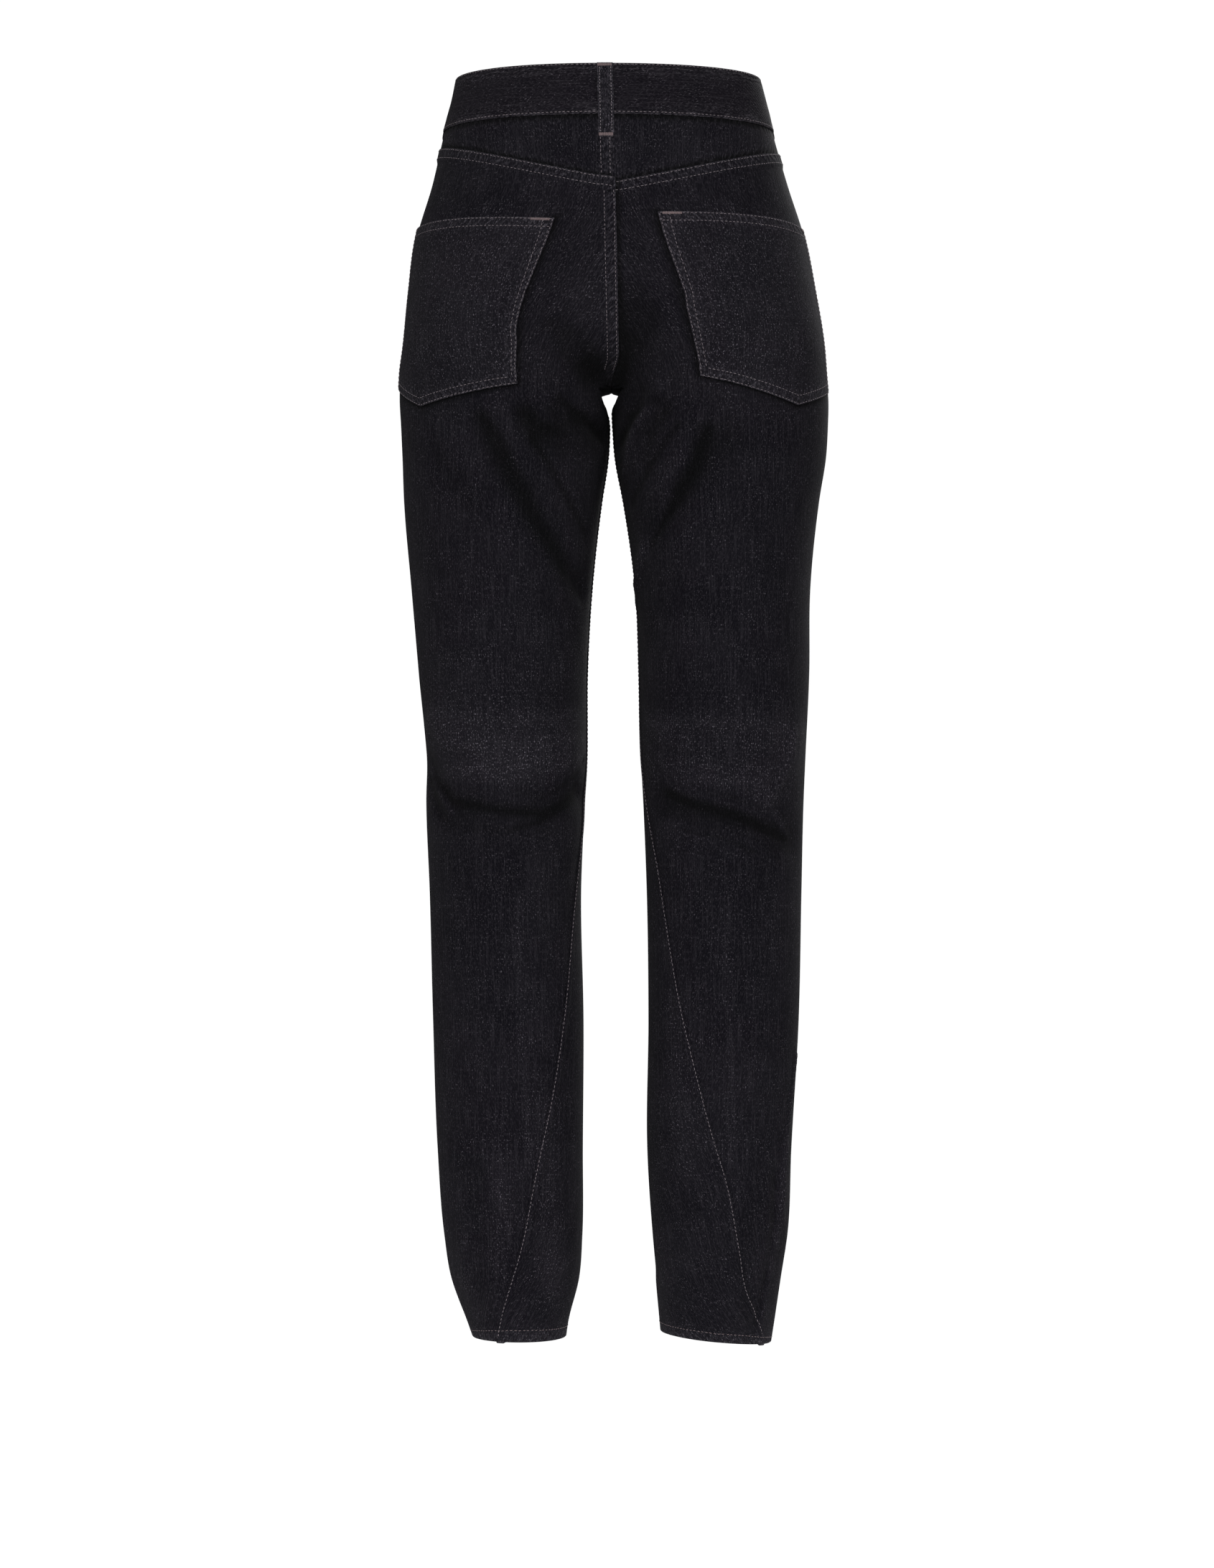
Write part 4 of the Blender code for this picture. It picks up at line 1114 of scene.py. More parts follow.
def make_yoke(leg):
    """A yoke piece, tucked under the waistband and the back panel."""

    def spot(share, down):
        nominal = between(SIDE_SEAM, 90.0, share)
        top = band_line(nominal) - TUCK
        foot = yoke_line(leg, nominal)
        drop = top + (foot + YOKE_UNDER - top) * down
        past = YOKE_PAST_CENTRE[leg] * ease((foot - drop + YOKE_END) / YOKE_END_EASE)
        inner = inner_edge(leg, "back", drop, past)
        return between(outer_edge(leg, "back", drop), inner, share), drop

    def place(share, down, out):
        turn, drop = spot(share, down)
        return on_leg(leg, turn, drop, out)

    def lift(arcs, share, down):
        out = SIDE_RIDGE * strip(arcs["left"], SIDE_RIDGE_WIDTH)
        if leg == "left":
            out = out + RAISE * strip(arcs["right"], YOKE_BAND)
        return out

    def threads(arcs, points, share, down):
        return np.stack([arcs["left"] - arcs["left"][:, -1:], points[..., 2]])

    def worn(share, down):
        turn, drop = spot(share, down)
        shares = wear_and_shade_at(leg, turn, drop) + YOKE_WEAR
        # Painted shadows on the yoke, along the back panel's lapped top edge and below the
        # waistband
        shares = shares - painted_lap_shadow(yoke_line(leg, turn) - LAP_EDGE - drop)
        return np.clip(shares - painted_lap_shadow(drop - band_line(turn) - LAP_EDGE), -1.0, 1.0)

    columns = fine_ends(YOKE_WIDTH, PITCH) / YOKE_WIDTH
    rows = np.linspace(0.0, 1.0, YOKE_ROWS)
    return cut_cloth(f"yoke_{leg}", columns, rows, place, lift, CLOTH,
                     (face_denim, reverse_denim), ("left", "right"), threads, worn)


# Waistband and belt loops

BAND_LENGTH = 740.0
BAND_GROOVES = (("top", 1.6), ("foot", 2.2))
GROOVE_WIDTH = 0.9
GROOVE_DEPTH = 0.25
LAP_CLEAR = 0.2
LAP_TURN = 9.0
LAP_MARGIN = 3.0
LAP_EASE = 12.0
FRONT_CENTRE = -90.0
LOOP_LENGTH = 62.0
LOOP_WIDTH = 13.0
LOOP_ARCH = 0.9
LOOP_ARCH_SHARE = 0.85
LOOP_STEP = 5.0
LOOP_DROP = 0.4
LOOP_GAP = 0.25
LOOP_CORD = 0.22
LOOP_THREADS = (3.0, 40.0)
LOOP_WEAR = 0.35
LOOP_EDGE_WEAR = 0.3
LOOP_ENDS = (0.0, 0.15, 0.4, 0.8, 1.4)
LOOP_PITCH = (1.1, 2.0)
BESIDE_ROUNDS = 4
LOOPS = {"back": 90.0, "side_left": -12.0, "front_left": -52.0, "side_right": 192.0,
         "front_right": 232.0}


def on_waist(place_round, drop, out):
    """A point round the waist: places run from the wearer's left side over the back."""
    left = on_leg("left", place_round, drop, out)
    right = on_leg("right", 180.0 - place_round, drop, out)
    return np.where((np.cos(np.radians(place_round)) >= 0)[..., None], left, right)


def band_out(place_round):
    """How far the waistband's face stands out: the left end laps over the right one."""
    end = FRONT_CENTRE + LAP_TURN + LAP_MARGIN + LAP_EASE
    return BAND_OUT + (BAND_WALL + LAP_CLEAR) * ease((end - place_round) / LAP_EASE)


def make_waistband():
    """The waistband, one doubled strip with its left end over its right end."""

    def place(place_round, down, out):
        drop = between(rim_line(place_round), band_line(place_round), down)
        return on_waist(place_round, drop, out)

    def lift(arcs, place_round, down):
        sunk = sum(np.exp(-((arcs[edge] - inset) / GROOVE_WIDTH) ** 2)
                   for edge, inset in BAND_GROOVES)
        return band_out(place_round) - GROOVE_DEPTH * sunk

    def threads(arcs, points, place_round, down):
        return np.stack([arcs["top"], arcs["left"]])

    length = 360.0 + 2 * LAP_TURN
    columns = FRONT_CENTRE - LAP_TURN + fine_ends(BAND_LENGTH, PITCH) / BAND_LENGTH * length
    rows = fine_ends(BAND_HEIGHT, PITCH) / BAND_HEIGHT
    return cut_cloth("waistband", columns, rows, place, lift, BAND_WALL,
                     (band_denim, reverse_denim), ALL_EDGES, threads, little_worn)


def further_round(place_round, drop, length):
    """The place a short length further round the waist."""
    start = on_waist(place_round, drop, 0.0)
    turn = place_round + np.sign(length)
    for _ in range(BESIDE_ROUNDS):
        reached = np.linalg.norm(on_waist(turn, drop, 0.0) - start, axis=-1)
        turn = place_round + (turn - place_round) * np.abs(length) / np.maximum(reached, 0.001)
    return turn


def make_loop(name, place_round):
    """A belt loop, sewn down at the rim and below the waistband, and arched between."""

    def place(across, down, out):
        middle_place = np.full(np.shape(across), place_round)
        drop = rim_line(middle_place) + LOOP_DROP + LOOP_LENGTH * down
        return on_waist(further_round(middle_place, drop, LOOP_WIDTH * across), drop, out)

    def lift(arcs, across, down):
        drop = rim_line(place_round) + LOOP_DROP + LOOP_LENGTH * down
        below = ease((drop - band_line(place_round)) / LOOP_STEP)
        seat = between(band_out(place_round) + LOOP_GAP, LOOP_GAP, below)
        arch = LOOP_ARCH * np.sin(math.pi * np.clip(down / LOOP_ARCH_SHARE, 0, 1)) ** 2
        cords = LOOP_CORD * np.cos(3 * math.pi * across) ** 2
        return seat + arch + LOOP_WALL - cords

    def threads(arcs, points, across, down):
        return np.stack([arcs["left"] + LOOP_THREADS[0], arcs["top"] + LOOP_THREADS[1]])

    def worn(across, down):
        return LOOP_WEAR + LOOP_EDGE_WEAR * np.abs(across * 2) ** 3

    columns = fine_ends(LOOP_WIDTH, LOOP_PITCH[0], LOOP_ENDS) / LOOP_WIDTH - 0.5
    rows = fine_ends(LOOP_LENGTH, LOOP_PITCH[1], LOOP_ENDS) / LOOP_LENGTH
    return cut_cloth(f"belt_loop_{name}", columns, rows, place, lift, LOOP_WALL,
                     (face_denim, reverse_denim), ALL_EDGES, threads, worn)


# Pockets

POCKET_OUT = 1.2
POCKET_GAPE = 0.7
GAPE_DEPTH = 9.0
POCKET_HEM = (0.25, 13.0)
POCKET_TURNED = (0.3, 9.0)
POCKET_WEAR = 0.42
POCKET_THREADS = 400.0
POCKET_SIZE = (140.0, 142.0)
POCKET_PITCH = 2.4
FACING_POINTS = (34, 40)
FACING_GAP = 0.15
FACING_REACH = 10.0
FACING_LAP = 28.0
FACING_IN = 1.3
FACING_STEP = 14.0


def make_back_pocket(leg):
    """A patch pocket with a pointed foot, sewn on round three sides."""

    def place(across, down, out):
        return on_leg(leg, *pocket_spot(leg, across, down), out)

    def lift(arcs, across, down):
        gape = POCKET_GAPE * np.exp(-(arcs["top"] / GAPE_DEPTH) ** 2)
        gape = gape * np.sin(math.pi * across) ** 0.5
        sewn_edge = np.minimum(np.minimum(arcs["left"], arcs["right"]), arcs["foot"])
        hem = POCKET_HEM[0] * strip(arcs["top"], POCKET_HEM[1])
        turned = POCKET_TURNED[0] * strip(sewn_edge, POCKET_TURNED[1])
        return POCKET_OUT + gape + np.maximum(hem, turned)

    def threads(arcs, points, across, down):
        return np.stack([arcs["left"] + POCKET_THREADS, points[..., 2]])

    def worn(across, down):
        return wear_and_shade_at(leg, *pocket_spot(leg, across, down)) + POCKET_WEAR

    columns, rows = [fine_ends(size, POCKET_PITCH) / size for size in POCKET_SIZE]
    return cut_cloth(f"back_pocket_{leg}", columns, rows, place, lift, CLOTH,
                     (face_denim, reverse_denim), ALL_EDGES, threads, worn)


def make_pocket_facing(leg):
    """The facing behind the scooped mouth of a front pocket."""
    start = 360.0 + SIDE_SEAM - FACING_GAP
    end = 360.0 + SIDE_SEAM - SCOOP_WIDTH - FACING_REACH

    def spot(across, down):
        turn = between(start, end, across)
        mouth = scoop_line(turn)
        top = band_line(turn) - TUCK
        return turn, between(top, mouth + FACING_LAP, down), mouth

    def place(across, down, out):
        turn, drop, _ = spot(across, down)
        return on_leg(leg, turn, drop, out)

    def lift(arcs, across, down):
        turn, drop, mouth = spot(across, down)
        return -FACING_IN * (1 - ease((mouth - TUCK - drop) / FACING_STEP))

    def threads(arcs, points, across, down):
        return np.stack([arcs["left"], points[..., 2]])

    columns, rows = [np.linspace(0.0, 1.0, count) for count in FACING_POINTS]
    return cut_cloth(f"pocket_facing_{leg}", columns, rows, place, lift, CLOTH,
                     (face_denim, reverse_denim), ("left", "right", "foot"), threads,
                     little_worn)


# Fly, zip and button

FLY_FOOT = 192.0
FLY_WIDTH = 38.0
FLY_IN = 2.9
FLY_POINTS = (17, 50)
FLY_ROUND = 0.75
FLY_ROUND_SHARE = 0.26
FLY_NARROWEST = 0.05
FLY_EDGE = 0.2
ZIP_TOP = 74.0
ZIP_FOOT = 184.0
ZIP_WIDTH = 26.0
ZIP_ACROSS = 19.0
ZIP_IN = 4.2
TAPE_WALL = 0.7
TAPE_POINTS = (15, 45)
SLIDER_DROP = ZIP_TOP + 3.0
TOOTH_PITCH = 2.2
TOOTH_SIZE = (3.4, 1.6, 1.2)
TOOTH_ROUNDING = 0.3
TOOTH_OFFSET = 0.8
TOOTH_OUT = 0.9
TEETH_FROM = ZIP_TOP + 8.0
TEETH_TO = ZIP_FOOT - 3.0
SLIDER_HALF_HEIGHT = 4.5
SLIDER_NARROWING = 0.3

# Each part of the slider has its name, size, rounding, and place from the body's middle
SLIDER = (
    ("slider_body", (8.0, 2.6, 9.0), 0.9, (0.0, 0.4, 0.0)),
    ("slider_bridge", (2.0, 1.6, 7.0), 0.6, (0.0, 2.2, 0.0)),
    ("slider_tab", (5.0, 0.9, 14.0), 0.4, (0.0, 3.1, -9.0)),
)
BUTTON_DROP = 33.5
BUTTON_OUT = 1.7
BUTTON_RADIUS = 8.5
BUTTON_DEPTH = 2.2
BUTTON_RINGS = ((1.0, 0.0), (0.7, -0.7), (2.0, 0.0), (0.6, 0.4))
SHANK_INSET = 5.0
SHANK_DEPTH = 1.4
BUTTON_ROUNDING = 0.35


def behind_fly(across, drop, inward):
    """A point behind the front's centre, across towards the wearer's left."""
    left = on_leg("left", turn_at("left", drop, across, "front"), drop)
    right = on_leg("right", turn_at("right", drop, -across, "front"), drop)
    point = np.where((across > 0)[..., None], left, right)
    point[..., 1] += inward
    return point


def no_lift(arcs, column, row):
    """A face that stands out nowhere."""
    return np.zeros(column.shape)


def make_fly_facing():
    """The facing behind the left front's opening, round at its foot."""

    def place(share, down, out):
        drop = between(FOOT_FRONT - TUCK, FLY_FOOT, down)
        bend = np.clip((down - FLY_ROUND) / FLY_ROUND_SHARE, 0, 1)
        width = FLY_WIDTH * np.sqrt(np.clip(1 - bend ** 2, FLY_NARROWEST, 1))
        return behind_fly(width * share + FLY_EDGE, drop, FLY_IN - out)

    def threads(arcs, points, share, down):
        return np.stack([arcs["left"], points[..., 2]])

    columns, rows = [np.linspace(0.0, 1.0, count) for count in FLY_POINTS]
    return cut_cloth("fly_facing", columns, rows, place, no_lift, CLOTH,
                     (reverse_denim, reverse_denim), ("left", "right", "foot"), threads,
                     little_worn)


def make_zip_tape():
    """The tape behind the fly facing."""

    def place(share, down, out):
        drop = between(ZIP_TOP, ZIP_FOOT, down)
        return behind_fly(ZIP_ACROSS + ZIP_WIDTH * (share - 0.5), drop, ZIP_IN - out)

    def threads(arcs, points, share, down):
        return np.stack([arcs["left"], arcs["top"]])

    columns, rows = [np.linspace(0.0, 1.0, count) for count in TAPE_POINTS]
    return cut_cloth("zip", columns, rows, place, no_lift, TAPE_WALL,
                     (tape_finish, tape_finish), ALL_EDGES, threads, little_worn)


def rounded_box(name, size, bevel, place):
    """A small block with rounded edges, at its size and place."""
    bpy.ops.mesh.primitive_cube_add(size=1.0, location=[v * MM for v in place])
    piece = bpy.context.object
    piece.name = name
    piece.scale = [v * MM for v in size]
    bpy.ops.object.transform_apply(location=True, rotation=True, scale=True)
    rounding = piece.modifiers.new("rounding", "BEVEL")
    rounding.width = bevel * MM
    rounding.segments = 2
    bpy.ops.object.modifier_apply(modifier="rounding")
    return piece


def joined(name, pieces):
    """Several pieces made one object."""
    bpy.ops.object.select_all(action="DESELECT")
    for piece in pieces:
        piece.select_set(True)
    bpy.context.view_layer.objects.active = pieces[0]
    bpy.ops.object.join()
    piece = bpy.context.object
    piece.name = name
    piece.data.name = name
    return piece


def repeat(name, model, copies, finish):
    """One object of many copies of a model, given each copy's points."""
    faces = [list(face.vertices) for face in model.data.polygons]
    count = len(model.data.vertices)
    mesh = bpy.data.meshes.new(name)
    everywhere = [[i + count * n for i in face] for n in range(len(copies)) for face in faces]
    mesh.from_pydata(copies.reshape(-1, 3).tolist(), [], everywhere)
    mesh.shade_smooth()
    mesh.materials.append(finish)
    piece = bpy.data.objects.new(name, mesh)
    bpy.context.collection.objects.link(piece)
    bpy.data.objects.remove(model, do_unlink=True)
    return piece


def make_zip_teeth():
    """The closed row of interlocked brass teeth, each a copy of the first."""
    bpy.ops.object.select_all(action="DESELECT")
    tooth = rounded_box("tooth", TOOTH_SIZE, TOOTH_ROUNDING, (0.0, 0.0, 0.0))
    base = np.array([vertex.co for vertex in tooth.data.vertices])
    drops = np.arange(TEETH_FROM, TEETH_TO, TOOTH_PITCH / 2)
    sides = np.where(np.arange(len(drops)) % 2, 1.0, -1.0) * TOOTH_OFFSET
    centres = behind_fly(ZIP_ACROSS + sides, drops, ZIP_IN + TOOTH_OUT) * MM
    return repeat("zip_teeth", tooth, base[None] + centres[:, None], brass)


def make_zip_slider():
    """The slider at the top of the zip: a waisted body with a bridge, and its tab hanging flat."""
    bpy.ops.object.select_all(action="DESELECT")
    spot = behind_fly(np.array(ZIP_ACROSS), np.array(SLIDER_DROP), ZIP_IN + TOOTH_OUT)
    body, *others = [rounded_box(name, size, rounding, spot + place)
                     for name, size, rounding, place in SLIDER]
    for vertex in body.data.vertices:
        low = (spot[2] * MM - vertex.co.z) / (SLIDER_HALF_HEIGHT * MM)
        if low > 0:
            aside = vertex.co.x - spot[0] * MM
            vertex.co.x = spot[0] * MM + aside * (1 - SLIDER_NARROWING * low)
    piece = joined("zip_slider_and_tab", [body, *others])
    piece.data.materials.append(brass)
    bpy.ops.object.shade_smooth_by_angle(angle=math.radians(40))
    return piece


def select_end(piece, facing):
    """Selects a flat end of a piece in edit mode: -1 faces the front and 1 the back."""
    bpy.ops.object.mode_set(mode="EDIT")
    bpy.ops.mesh.select_all(action="DESELECT")
    bpy.ops.object.mode_set(mode="OBJECT")
    for face in piece.data.polygons:
        face.select = face.normal.y * facing > 0.9
    bpy.ops.object.mode_set(mode="EDIT")


def make_button():
    """A tack button: a rolled rim, a sunk ring and a low centre, on a short shank."""
    out = BAND_OUT + BAND_WALL + BUTTON_OUT
    spot = on_waist(np.array(FRONT_CENTRE), np.array(BUTTON_DROP), out)
    bpy.ops.object.select_all(action="DESELECT")
    bpy.ops.mesh.primitive_cylinder_add(vertices=48, radius=BUTTON_RADIUS * MM,
                                        depth=BUTTON_DEPTH * MM, location=spot * MM,
                                        rotation=(math.pi / 2, 0.0, 0.0))
    piece = bpy.context.object
    bpy.ops.object.transform_apply(location=True, rotation=True, scale=True)
    select_end(piece, -1)
    for thickness, depth in BUTTON_RINGS:
        bpy.ops.mesh.inset(thickness=thickness * MM, depth=depth * MM)
    select_end(piece, 1)
    bpy.ops.mesh.inset(thickness=SHANK_INSET * MM, depth=0.0)
    shank = {"value": (0.0, SHANK_DEPTH * MM, 0.0)}
    bpy.ops.mesh.extrude_region_move(TRANSFORM_OT_translate=shank)
    bpy.ops.object.mode_set(mode="OBJECT")
    rounding = piece.modifiers.new("rounding", "BEVEL")
    rounding.width = BUTTON_ROUNDING * MM
    rounding.segments = 3
    rounding.limit_method = "ANGLE"
    bpy.ops.object.modifier_apply(modifier="rounding")
    bpy.ops.object.shade_smooth_by_angle(angle=math.radians(50))
    piece.name = "tack_button"
    piece.data.name = "tack_button"
    piece.data.materials.append(brass)
    return piece


# Sewing

STITCH_PITCH = 3.5
STITCH_WIDTH = 0.55
STITCH_HEIGHT = 0.55
STITCH_SHARE = 0.66
STITCH_SUNK = 0.12
STITCH_REACH = 0.6
UNEVEN_PLACE = 0.1
UNEVEN_SLANT = 3.0
UNEVEN_LENGTH = 0.05
TACK_PITCH = 0.6
TACK_THREAD = 0.7
TACK_POINTS = 12


def lengths_along(line):
    """The distance of each point of a line from its start."""
    steps = np.linalg.norm(np.diff(line, axis=0), axis=1)
    return np.concatenate([[0.0], np.cumsum(steps)])


def edge_line(cloth, edge, inset, start=0.0, end=0.0):
    """Points and normals on a line inside an edge, from near its start to near its end."""
    arcs, points, normals = cloth.arcs[edge], cloth.points, cloth.normals
    if edge in ("top", "foot"):
        arcs, points, normals = arcs.T, points.swapaxes(0, 1), normals.swapaxes(0, 1)
    if edge in ("right", "foot"):
        arcs, points, normals = arcs[:, ::-1], points[:, ::-1], normals[:, ::-1]
    insets = np.broadcast_to(inset, len(arcs))
    line = []
    ways = []
    for i, reach in enumerate(insets):
        line.append([np.interp(reach, arcs[i], points[i, :, axis]) for axis in range(3)])
        ways.append([np.interp(reach, arcs[i], normals[i, :, axis]) for axis in range(3)])
    line, ways = np.array(line), np.array(ways)
    length = lengths_along(line)
    kept = (length >= start) & (length <= length[-1] - end)
    return line[kept], ways[kept]


def between_drops(cloth, edge, inset, low, high):
    """The part of a line inside an edge that lies between two drops."""
    line, ways = edge_line(cloth, edge, inset)
    kept = (-line[:, 2] >= low) & (-line[:, 2] <= high)
    return line[kept], ways[kept]


def points_at(distances, length, line):
    """The points of a line at distances along it."""
    return np.stack([np.interp(distances, length, line[:, i]) for i in range(3)], axis=-1)


def stitch_places(line, ways, pitch):
    """Centres, directions and normals of stitches a pitch apart along a line."""
    length = lengths_along(line)
    count = max(1, int(length[-1] / pitch))
    at = (np.arange(count) + 0.5) * length[-1] / count
    at = at + rng.uniform(-UNEVEN_PLACE, UNEVEN_PLACE, count) * pitch
    ahead = points_at(at + STITCH_REACH, length, line)
    run = ahead - points_at(at - STITCH_REACH, length, line)
    return points_at(at, length, line), unit(run), unit(points_at(at, length, ways))


def unit(vectors):
    """Vectors made 1 long."""
    return vectors / np.maximum(np.linalg.norm(vectors, axis=-1, keepdims=True), 1e-9)


def sewn(name, rows, finish):
    """The stitches of several rows as one piece, every stitch a copy of one spindle.

    Each row is (line, normals, pitch, length, width, slant): a slant of 90 degrees makes the
    close cross stitches of a bar tack.
    """
    bpy.ops.object.select_all(action="DESELECT")
    bpy.ops.mesh.primitive_uv_sphere_add(segments=6, ring_count=5, radius=0.5)
    spindle = bpy.context.object
    base = np.array([vertex.co for vertex in spindle.data.vertices])
    copies = []
    for line, ways, pitch, length, width, slant in rows:
        centre, run, up = stitch_places(line, ways, pitch)
        aside = unit(np.cross(up, run))
        turn = np.radians(slant + rng.normal(0.0, UNEVEN_SLANT, len(centre)))[:, None]
        cosine, sine = np.cos(turn), np.sin(turn)
        run, aside = run * cosine + aside * sine, aside * cosine - run * sine
        sizes = rng.normal(1.0, UNEVEN_LENGTH, (len(centre), 1))
        along_run = base[:, 2][None, :, None] * (run * length * sizes)[:, None]
        along_side = base[:, 0][None, :, None] * (aside * width)[:, None]
        along_up = (base[:, 1] + STITCH_SUNK)[None, :, None] * (up * STITCH_HEIGHT)[:, None]
        copies.append(centre[:, None] + along_run + along_side + along_up)
    piece = repeat(name, spindle, np.concatenate(copies) * MM, finish)
    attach(piece, "root")
    return piece


def lockstitches(line_and_ways, pitch=STITCH_PITCH):
    """A row of lockstitches along a line."""
    return (*line_and_ways, pitch, pitch * STITCH_SHARE, STITCH_WIDTH, 0.0)


def bar_tack(line_and_ways, width=2.4):
    """A bar tack along a line."""
    return (*line_and_ways, TACK_PITCH, width, TACK_THREAD, 90.0)


def across_line(cloth, edge, inset, start, length):
    """A short line inside an edge, for a bar tack."""
    line, ways = edge_line(cloth, edge, inset)
    reach = lengths_along(line)
    at = np.linspace(start, start + length, TACK_POINTS)
    return points_at(at, reach, line), points_at(at, reach, ways)


# The garment

bpy.ops.object.select_all(action="DESELECT")
band = make_waistband()
yokes = {leg: make_yoke(leg) for leg in LEGS}
backs = {leg: make_panel(leg, "back") for leg in LEGS}
fronts = {leg: make_panel(leg, "front") for leg in LEGS}
pockets = {leg: make_back_pocket(leg) for leg in LEGS}
facings = {leg: make_pocket_facing(leg) for leg in LEGS}
loops = {name: make_loop(name, place) for name, place in LOOPS.items()}
fly_facing = make_fly_facing()
zip_tape = make_zip_tape()

# How far inside an edge each row of stitches runs, where it starts and ends, and the drops that
# the rows of a long seam run between
BAND_ROWS = (("top", 1.4), ("foot", 2.0))
YOKE_SEAM_ROWS = (1.4, 8.4)
YOKE_SEAM_START = 9.0
YOKE_SEAM_END = {"left": 2.0, "right": 7.0}
LONG_SEAMS = (
    ("stitches_centre_back", backs["left"], (1.6, 9.6), 92.0, 240.0),
    ("stitches_centre_front", fronts["left"], (1.6, 7.4), 170.0, 238.0),
)
YOKE_CENTRE = ("right", (1.5, 9.0), 36.0, 82.0)
INSEAM_ROW = (1.5, 268.0, HEM - 3.0)
INSIDE_HEM = HEM_DEPTH + math.pi * HEM_ROLL + HEM_ROW
LOOP_ROW = (1.9, 3.0, 3.0)
LOOP_STITCH = 2.7
MOUTH_ROWS = (1.6, 7.6)
MOUTH_START = 1.0
MOUTH_END = 48.0
POCKET_FOOT_ROW = {"left": 7.0, "right": 8.0}
POCKET_INNER_DOWN = (0.0, 0.4, 0.75, 1.0)
POCKET_INNER_ROW = {"left": (9.6, 5.9, 4.2, 3.8), "right": (9.6, 7.2, 6.2, 6.0)}
POCKET_TACK_INSET = 1.6
POCKET_TACKS = {"inner": 16.0, "outer": 10.0}
TACK_MARGIN = 0.5
FLY_ROWS = (34.0, 28.0)
FLY_ROW_POINTS = 60
FLY_ROW_DROPS = (FOOT_FRONT + 2.0, FLY_FOOT - 4.0)
FLY_ROW_BEND = 0.72
FLY_ROW_ASIDE = 2.0
FLY_ROW_OUT = 0.1
LOOP_TACKS = (("top", 2.0, 2.6), ("foot", 2.2, 3.2))
LOOP_TACK_MARGIN = 0.6

sewn("stitches_waistband", [
    lockstitches(edge_line(band, edge, inset)) for edge, inset in BAND_ROWS
], topstitch)
edge, insets, low, high = YOKE_CENTRE
sewn("stitches_yoke_seams", [
    lockstitches(edge_line(backs[leg], "top", inset, YOKE_SEAM_START, YOKE_SEAM_END[leg]))
    for leg in LEGS for inset in YOKE_SEAM_ROWS
] + [
    lockstitches(between_drops(yokes["left"], edge, inset, low, high)) for inset in insets
], topstitch)
for name, panel, insets, low, high in LONG_SEAMS:
    sewn(name, [
        lockstitches(between_drops(panel, "right", inset, low, high)) for inset in insets
    ], topstitch)
sewn("stitches_inseams", [
    lockstitches(between_drops(fronts[leg], "right", *INSEAM_ROW)) for leg in LEGS
], topstitch)
sewn("stitches_hems", [
    lockstitches(edge_line(panel, "foot", INSIDE_HEM))
    for panel in (*backs.values(), *fronts.values())
], hem_thread)
sewn("stitches_belt_loops", [
    lockstitches(edge_line(loop, edge, *LOOP_ROW), LOOP_STITCH)
    for loop in loops.values() for edge in ("left", "right")
], loop_thread)


def pocket_rows(leg):
    """The rows round a patch pocket: two on each edge, the inner ones closing in downwards."""
    pocket = pockets[leg]
    foot = POCKET_FOOT_ROW[leg]
    down = np.linspace(0.0, 1.0, len(pocket.arcs["left"]))
    closing = np.interp(down, POCKET_INNER_DOWN, POCKET_INNER_ROW[leg])
    return [lockstitches(edge_line(pocket, *line)) for line in (
        ("top", 1.3, 1.0, 1.0),
        ("top", 8.0, 1.0, 1.0),
        ("right", 1.2, 1.0, 1.5),
        ("right", closing, 1.0, foot),
        ("left", 1.2, 1.0, 1.5),
        ("left", 6.5, 1.0, foot),
        ("foot", 1.2, 1.5, 1.5),
        ("foot", foot, 5.0, 6.0),
    )]


for leg in LEGS:
    sewn(f"stitches_back_pocket_{leg}", pocket_rows(leg), topstitch)
    sewn(f"stitches_pocket_mouth_{leg}", [
        lockstitches(edge_line(fronts[leg], "top", inset, MOUTH_START, MOUTH_END))
        for inset in MOUTH_ROWS
    ], topstitch)
    width = pockets[leg].arcs["left"][0, -1]
    inner_start = width - POCKET_TACKS["inner"] - TACK_MARGIN
    sewn(f"bar_tacks_back_pocket_{leg}", [
        bar_tack(across_line(pockets[leg], "top", POCKET_TACK_INSET, start, POCKET_TACKS[side]))
        for side, start in (("inner", inner_start), ("outer", TACK_MARGIN))
    ], tack_thread)

# The fly's curved double row, on the left front
fly_down = np.linspace(0.0, 1.0, FLY_ROW_POINTS)
fly_lines = []
for reach in FLY_ROWS:
    drop = between(*FLY_ROW_DROPS, fly_down)
    bend = np.clip((fly_down - FLY_ROW_BEND) / (1.0 - FLY_ROW_BEND), 0.0, 1.0)
    across = reach * np.sqrt(np.clip(1 - bend ** 2, 0.0, 1.0)) + FLY_ROW_ASIDE
    face = behind_fly(across, drop, -FLY_ROW_OUT)
    way = np.tile([0.0, -1.0, 0.0], (len(face), 1))
    fly_lines.append(lockstitches((face, way)))
sewn("stitches_fly", fly_lines, topstitch)

tack_length = LOOP_WIDTH - 2 * LOOP_TACK_MARGIN
sewn("bar_tacks_belt_loops", [
    bar_tack(across_line(loop, edge, inset, LOOP_TACK_MARGIN, tack_length), width)
    for loop in loops.values() for edge, inset, width in LOOP_TACKS
], tack_thread)

teeth = make_zip_teeth()
slider = make_zip_slider()
button = make_button()
for piece in (teeth, slider, button):
    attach(piece, "root")
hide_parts("zip_slider")
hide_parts("button")

declared(band, ["waistband"])
for leg in LEGS:
    for cloth, node, under in (
        (yokes[leg], "yoke", band),
        (backs[leg], "back", yokes[leg]),
        (fronts[leg], "front", band),
        (pockets[leg], "back_pocket", backs[leg]),
        (facings[leg], "pocket_facing", fronts[leg]),
    ):
        declared(cloth, [f"{node}_{leg}"])
for name, loop in loops.items():
    declared(loop, [f"belt_loop_{name}"])
declared(fly_facing, ["fly_facing"])
declared(zip_tape, ["zip"])

# Studio

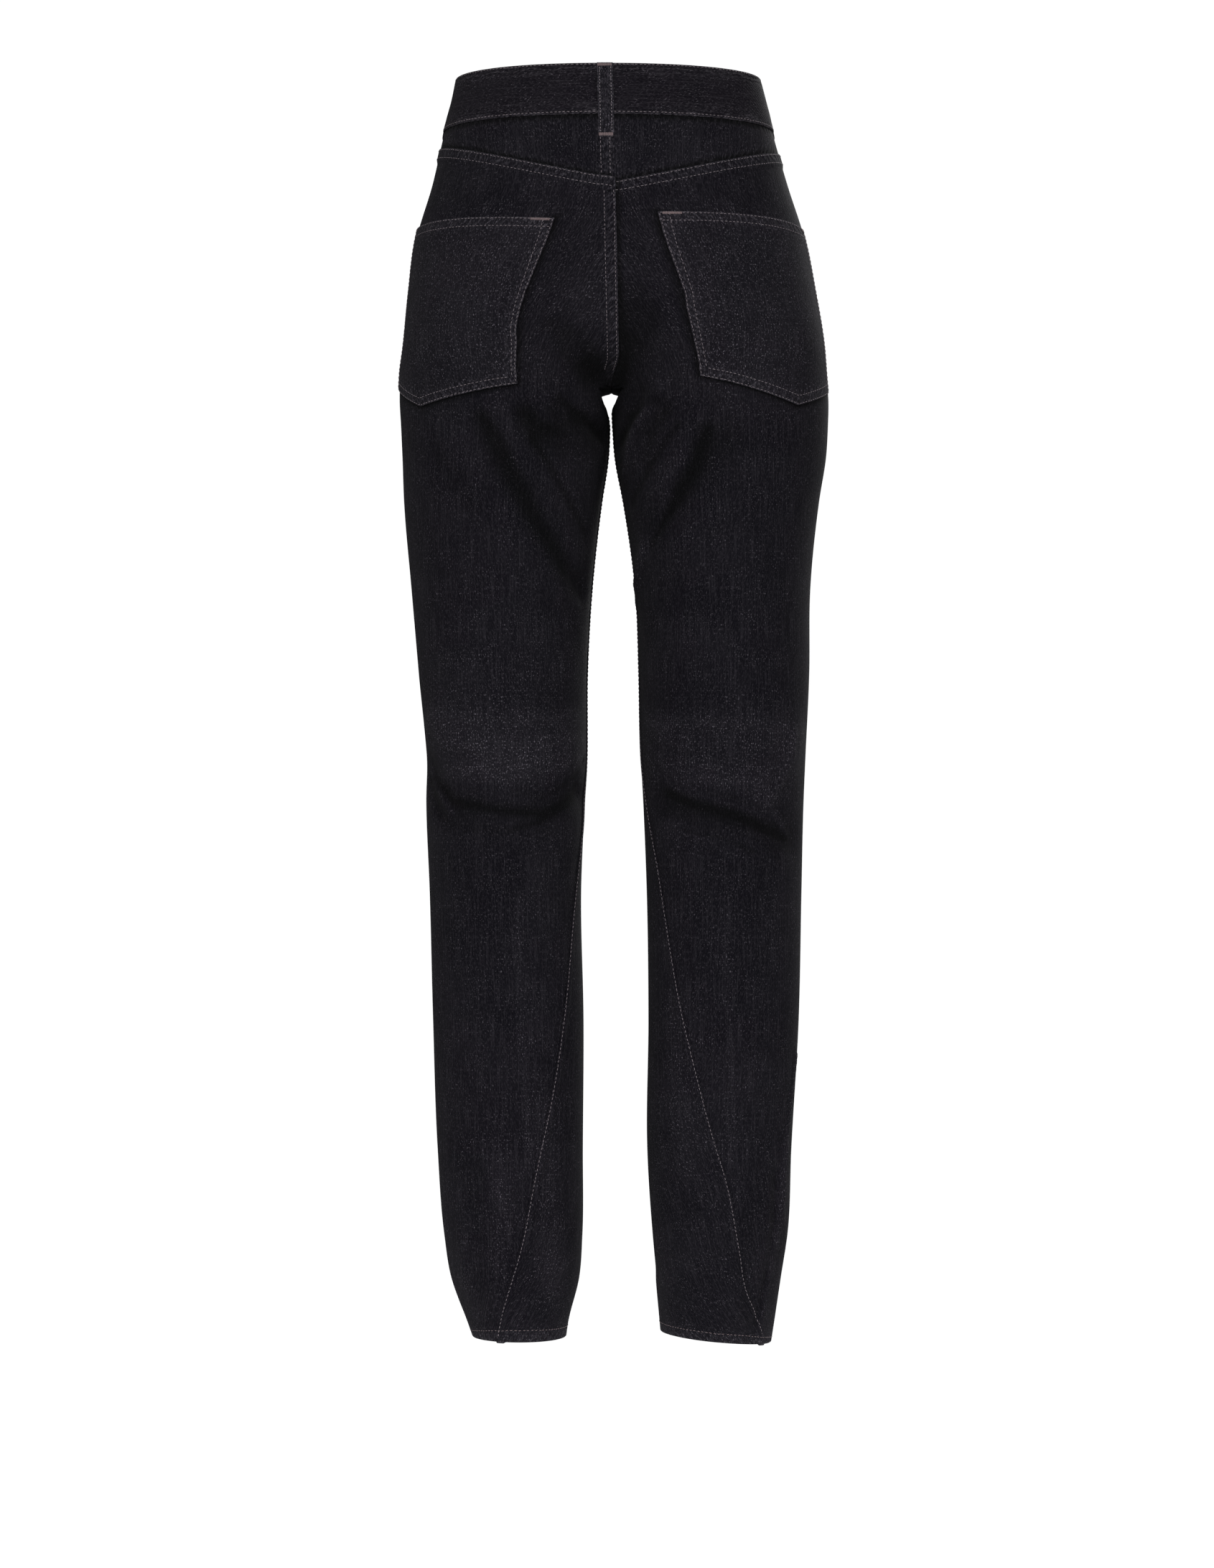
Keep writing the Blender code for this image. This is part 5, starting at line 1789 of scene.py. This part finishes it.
VIEW_HEIGHT = -0.5786
VIEW_DISTANCE = 5.0
FLOOR_HEIGHT = -1.25
FLOOR_SIZE = 1.4
FLOOR_BEHIND = 0.4
FLOOR_GLOW = 0.35
ROOM_LIGHT = 0.33
BACKDROP = 1.02
WHITE = (1.0, 1.0, 1.0, 1.0)

# Each light has its name, place, aim, size and power
LIGHTS = (
    ("key", (0.3, 4.0, 2.1), (0.0, 0.0, -0.5), (2.0, 2.0), 148.0),
    ("fill_left", (3.0, 2.4, -0.1), (0.0, 0.0, -0.6), (1.6, 2.4), 26.0),
    ("fill_right", (-3.0, 2.4, -0.1), (0.0, 0.0, -0.6), (1.6, 2.4), 32.0),
    ("front", (-1.5, -3.4, 1.6), (0.0, 0.0, -0.5), (2.4, 2.4), 200.0),
)
SENSOR = 36.0
LENS = 137.36
FARTHEST = 50.0


def studio_light(name, place, aim, size, power):
    """A large soft panel light."""
    bpy.ops.object.light_add(type="AREA", location=place)
    lamp = bpy.context.object
    lamp.name = name
    lamp.data.shape = "RECTANGLE"
    lamp.data.size, lamp.data.size_y = size
    lamp.data.energy = power
    lamp.rotation_euler = (Vector(aim) - Vector(place)).to_track_quat("-Z", "Y").to_euler()


def pale_room():
    """Pale surroundings: a white backdrop to the eye, which gives only a dim even light."""
    world = bpy.data.worlds.new("pale_room")
    bpy.context.scene.world = world
    world.use_nodes = True
    tree = world.node_tree
    seen = add_node(tree, "ShaderNodeLightPath").outputs["Is Camera Ray"]
    strength = add_node(tree, "ShaderNodeMapRange", {"Value": seen, "To Min": ROOM_LIGHT,
                                                     "To Max": BACKDROP}).outputs["Result"]
    sky = tree.nodes["Background"]
    sky.inputs["Color"].default_value = WHITE
    tree.links.new(strength, sky.inputs["Strength"])


bpy.ops.mesh.primitive_plane_add(size=FLOOR_SIZE, location=(0.0, FLOOR_BEHIND, FLOOR_HEIGHT))
floor = bpy.context.object
floor.name = "studio_floor"
bpy.ops.object.transform_apply(location=True, rotation=True, scale=True)
paint, _, shader = new_finish("white_studio_floor", "F6F6F6", 0.8, 0.1)
shader.inputs["Emission Color"].default_value = WHITE
shader.inputs["Emission Strength"].default_value = FLOOR_GLOW
floor.data.materials.append(paint)

pale_room()
for light in LIGHTS:
    studio_light(*light)

bpy.ops.object.camera_add(location=(0.0, VIEW_DISTANCE, VIEW_HEIGHT),
                          rotation=(math.pi / 2, 0.0, math.pi))
camera = bpy.context.object
camera.name = "camera"
camera.data.sensor_width = SENSOR
camera.data.lens = LENS
camera.data.clip_end = FARTHEST
bpy.context.scene.camera = camera
bpy.context.scene.view_settings.view_transform = "Standard"
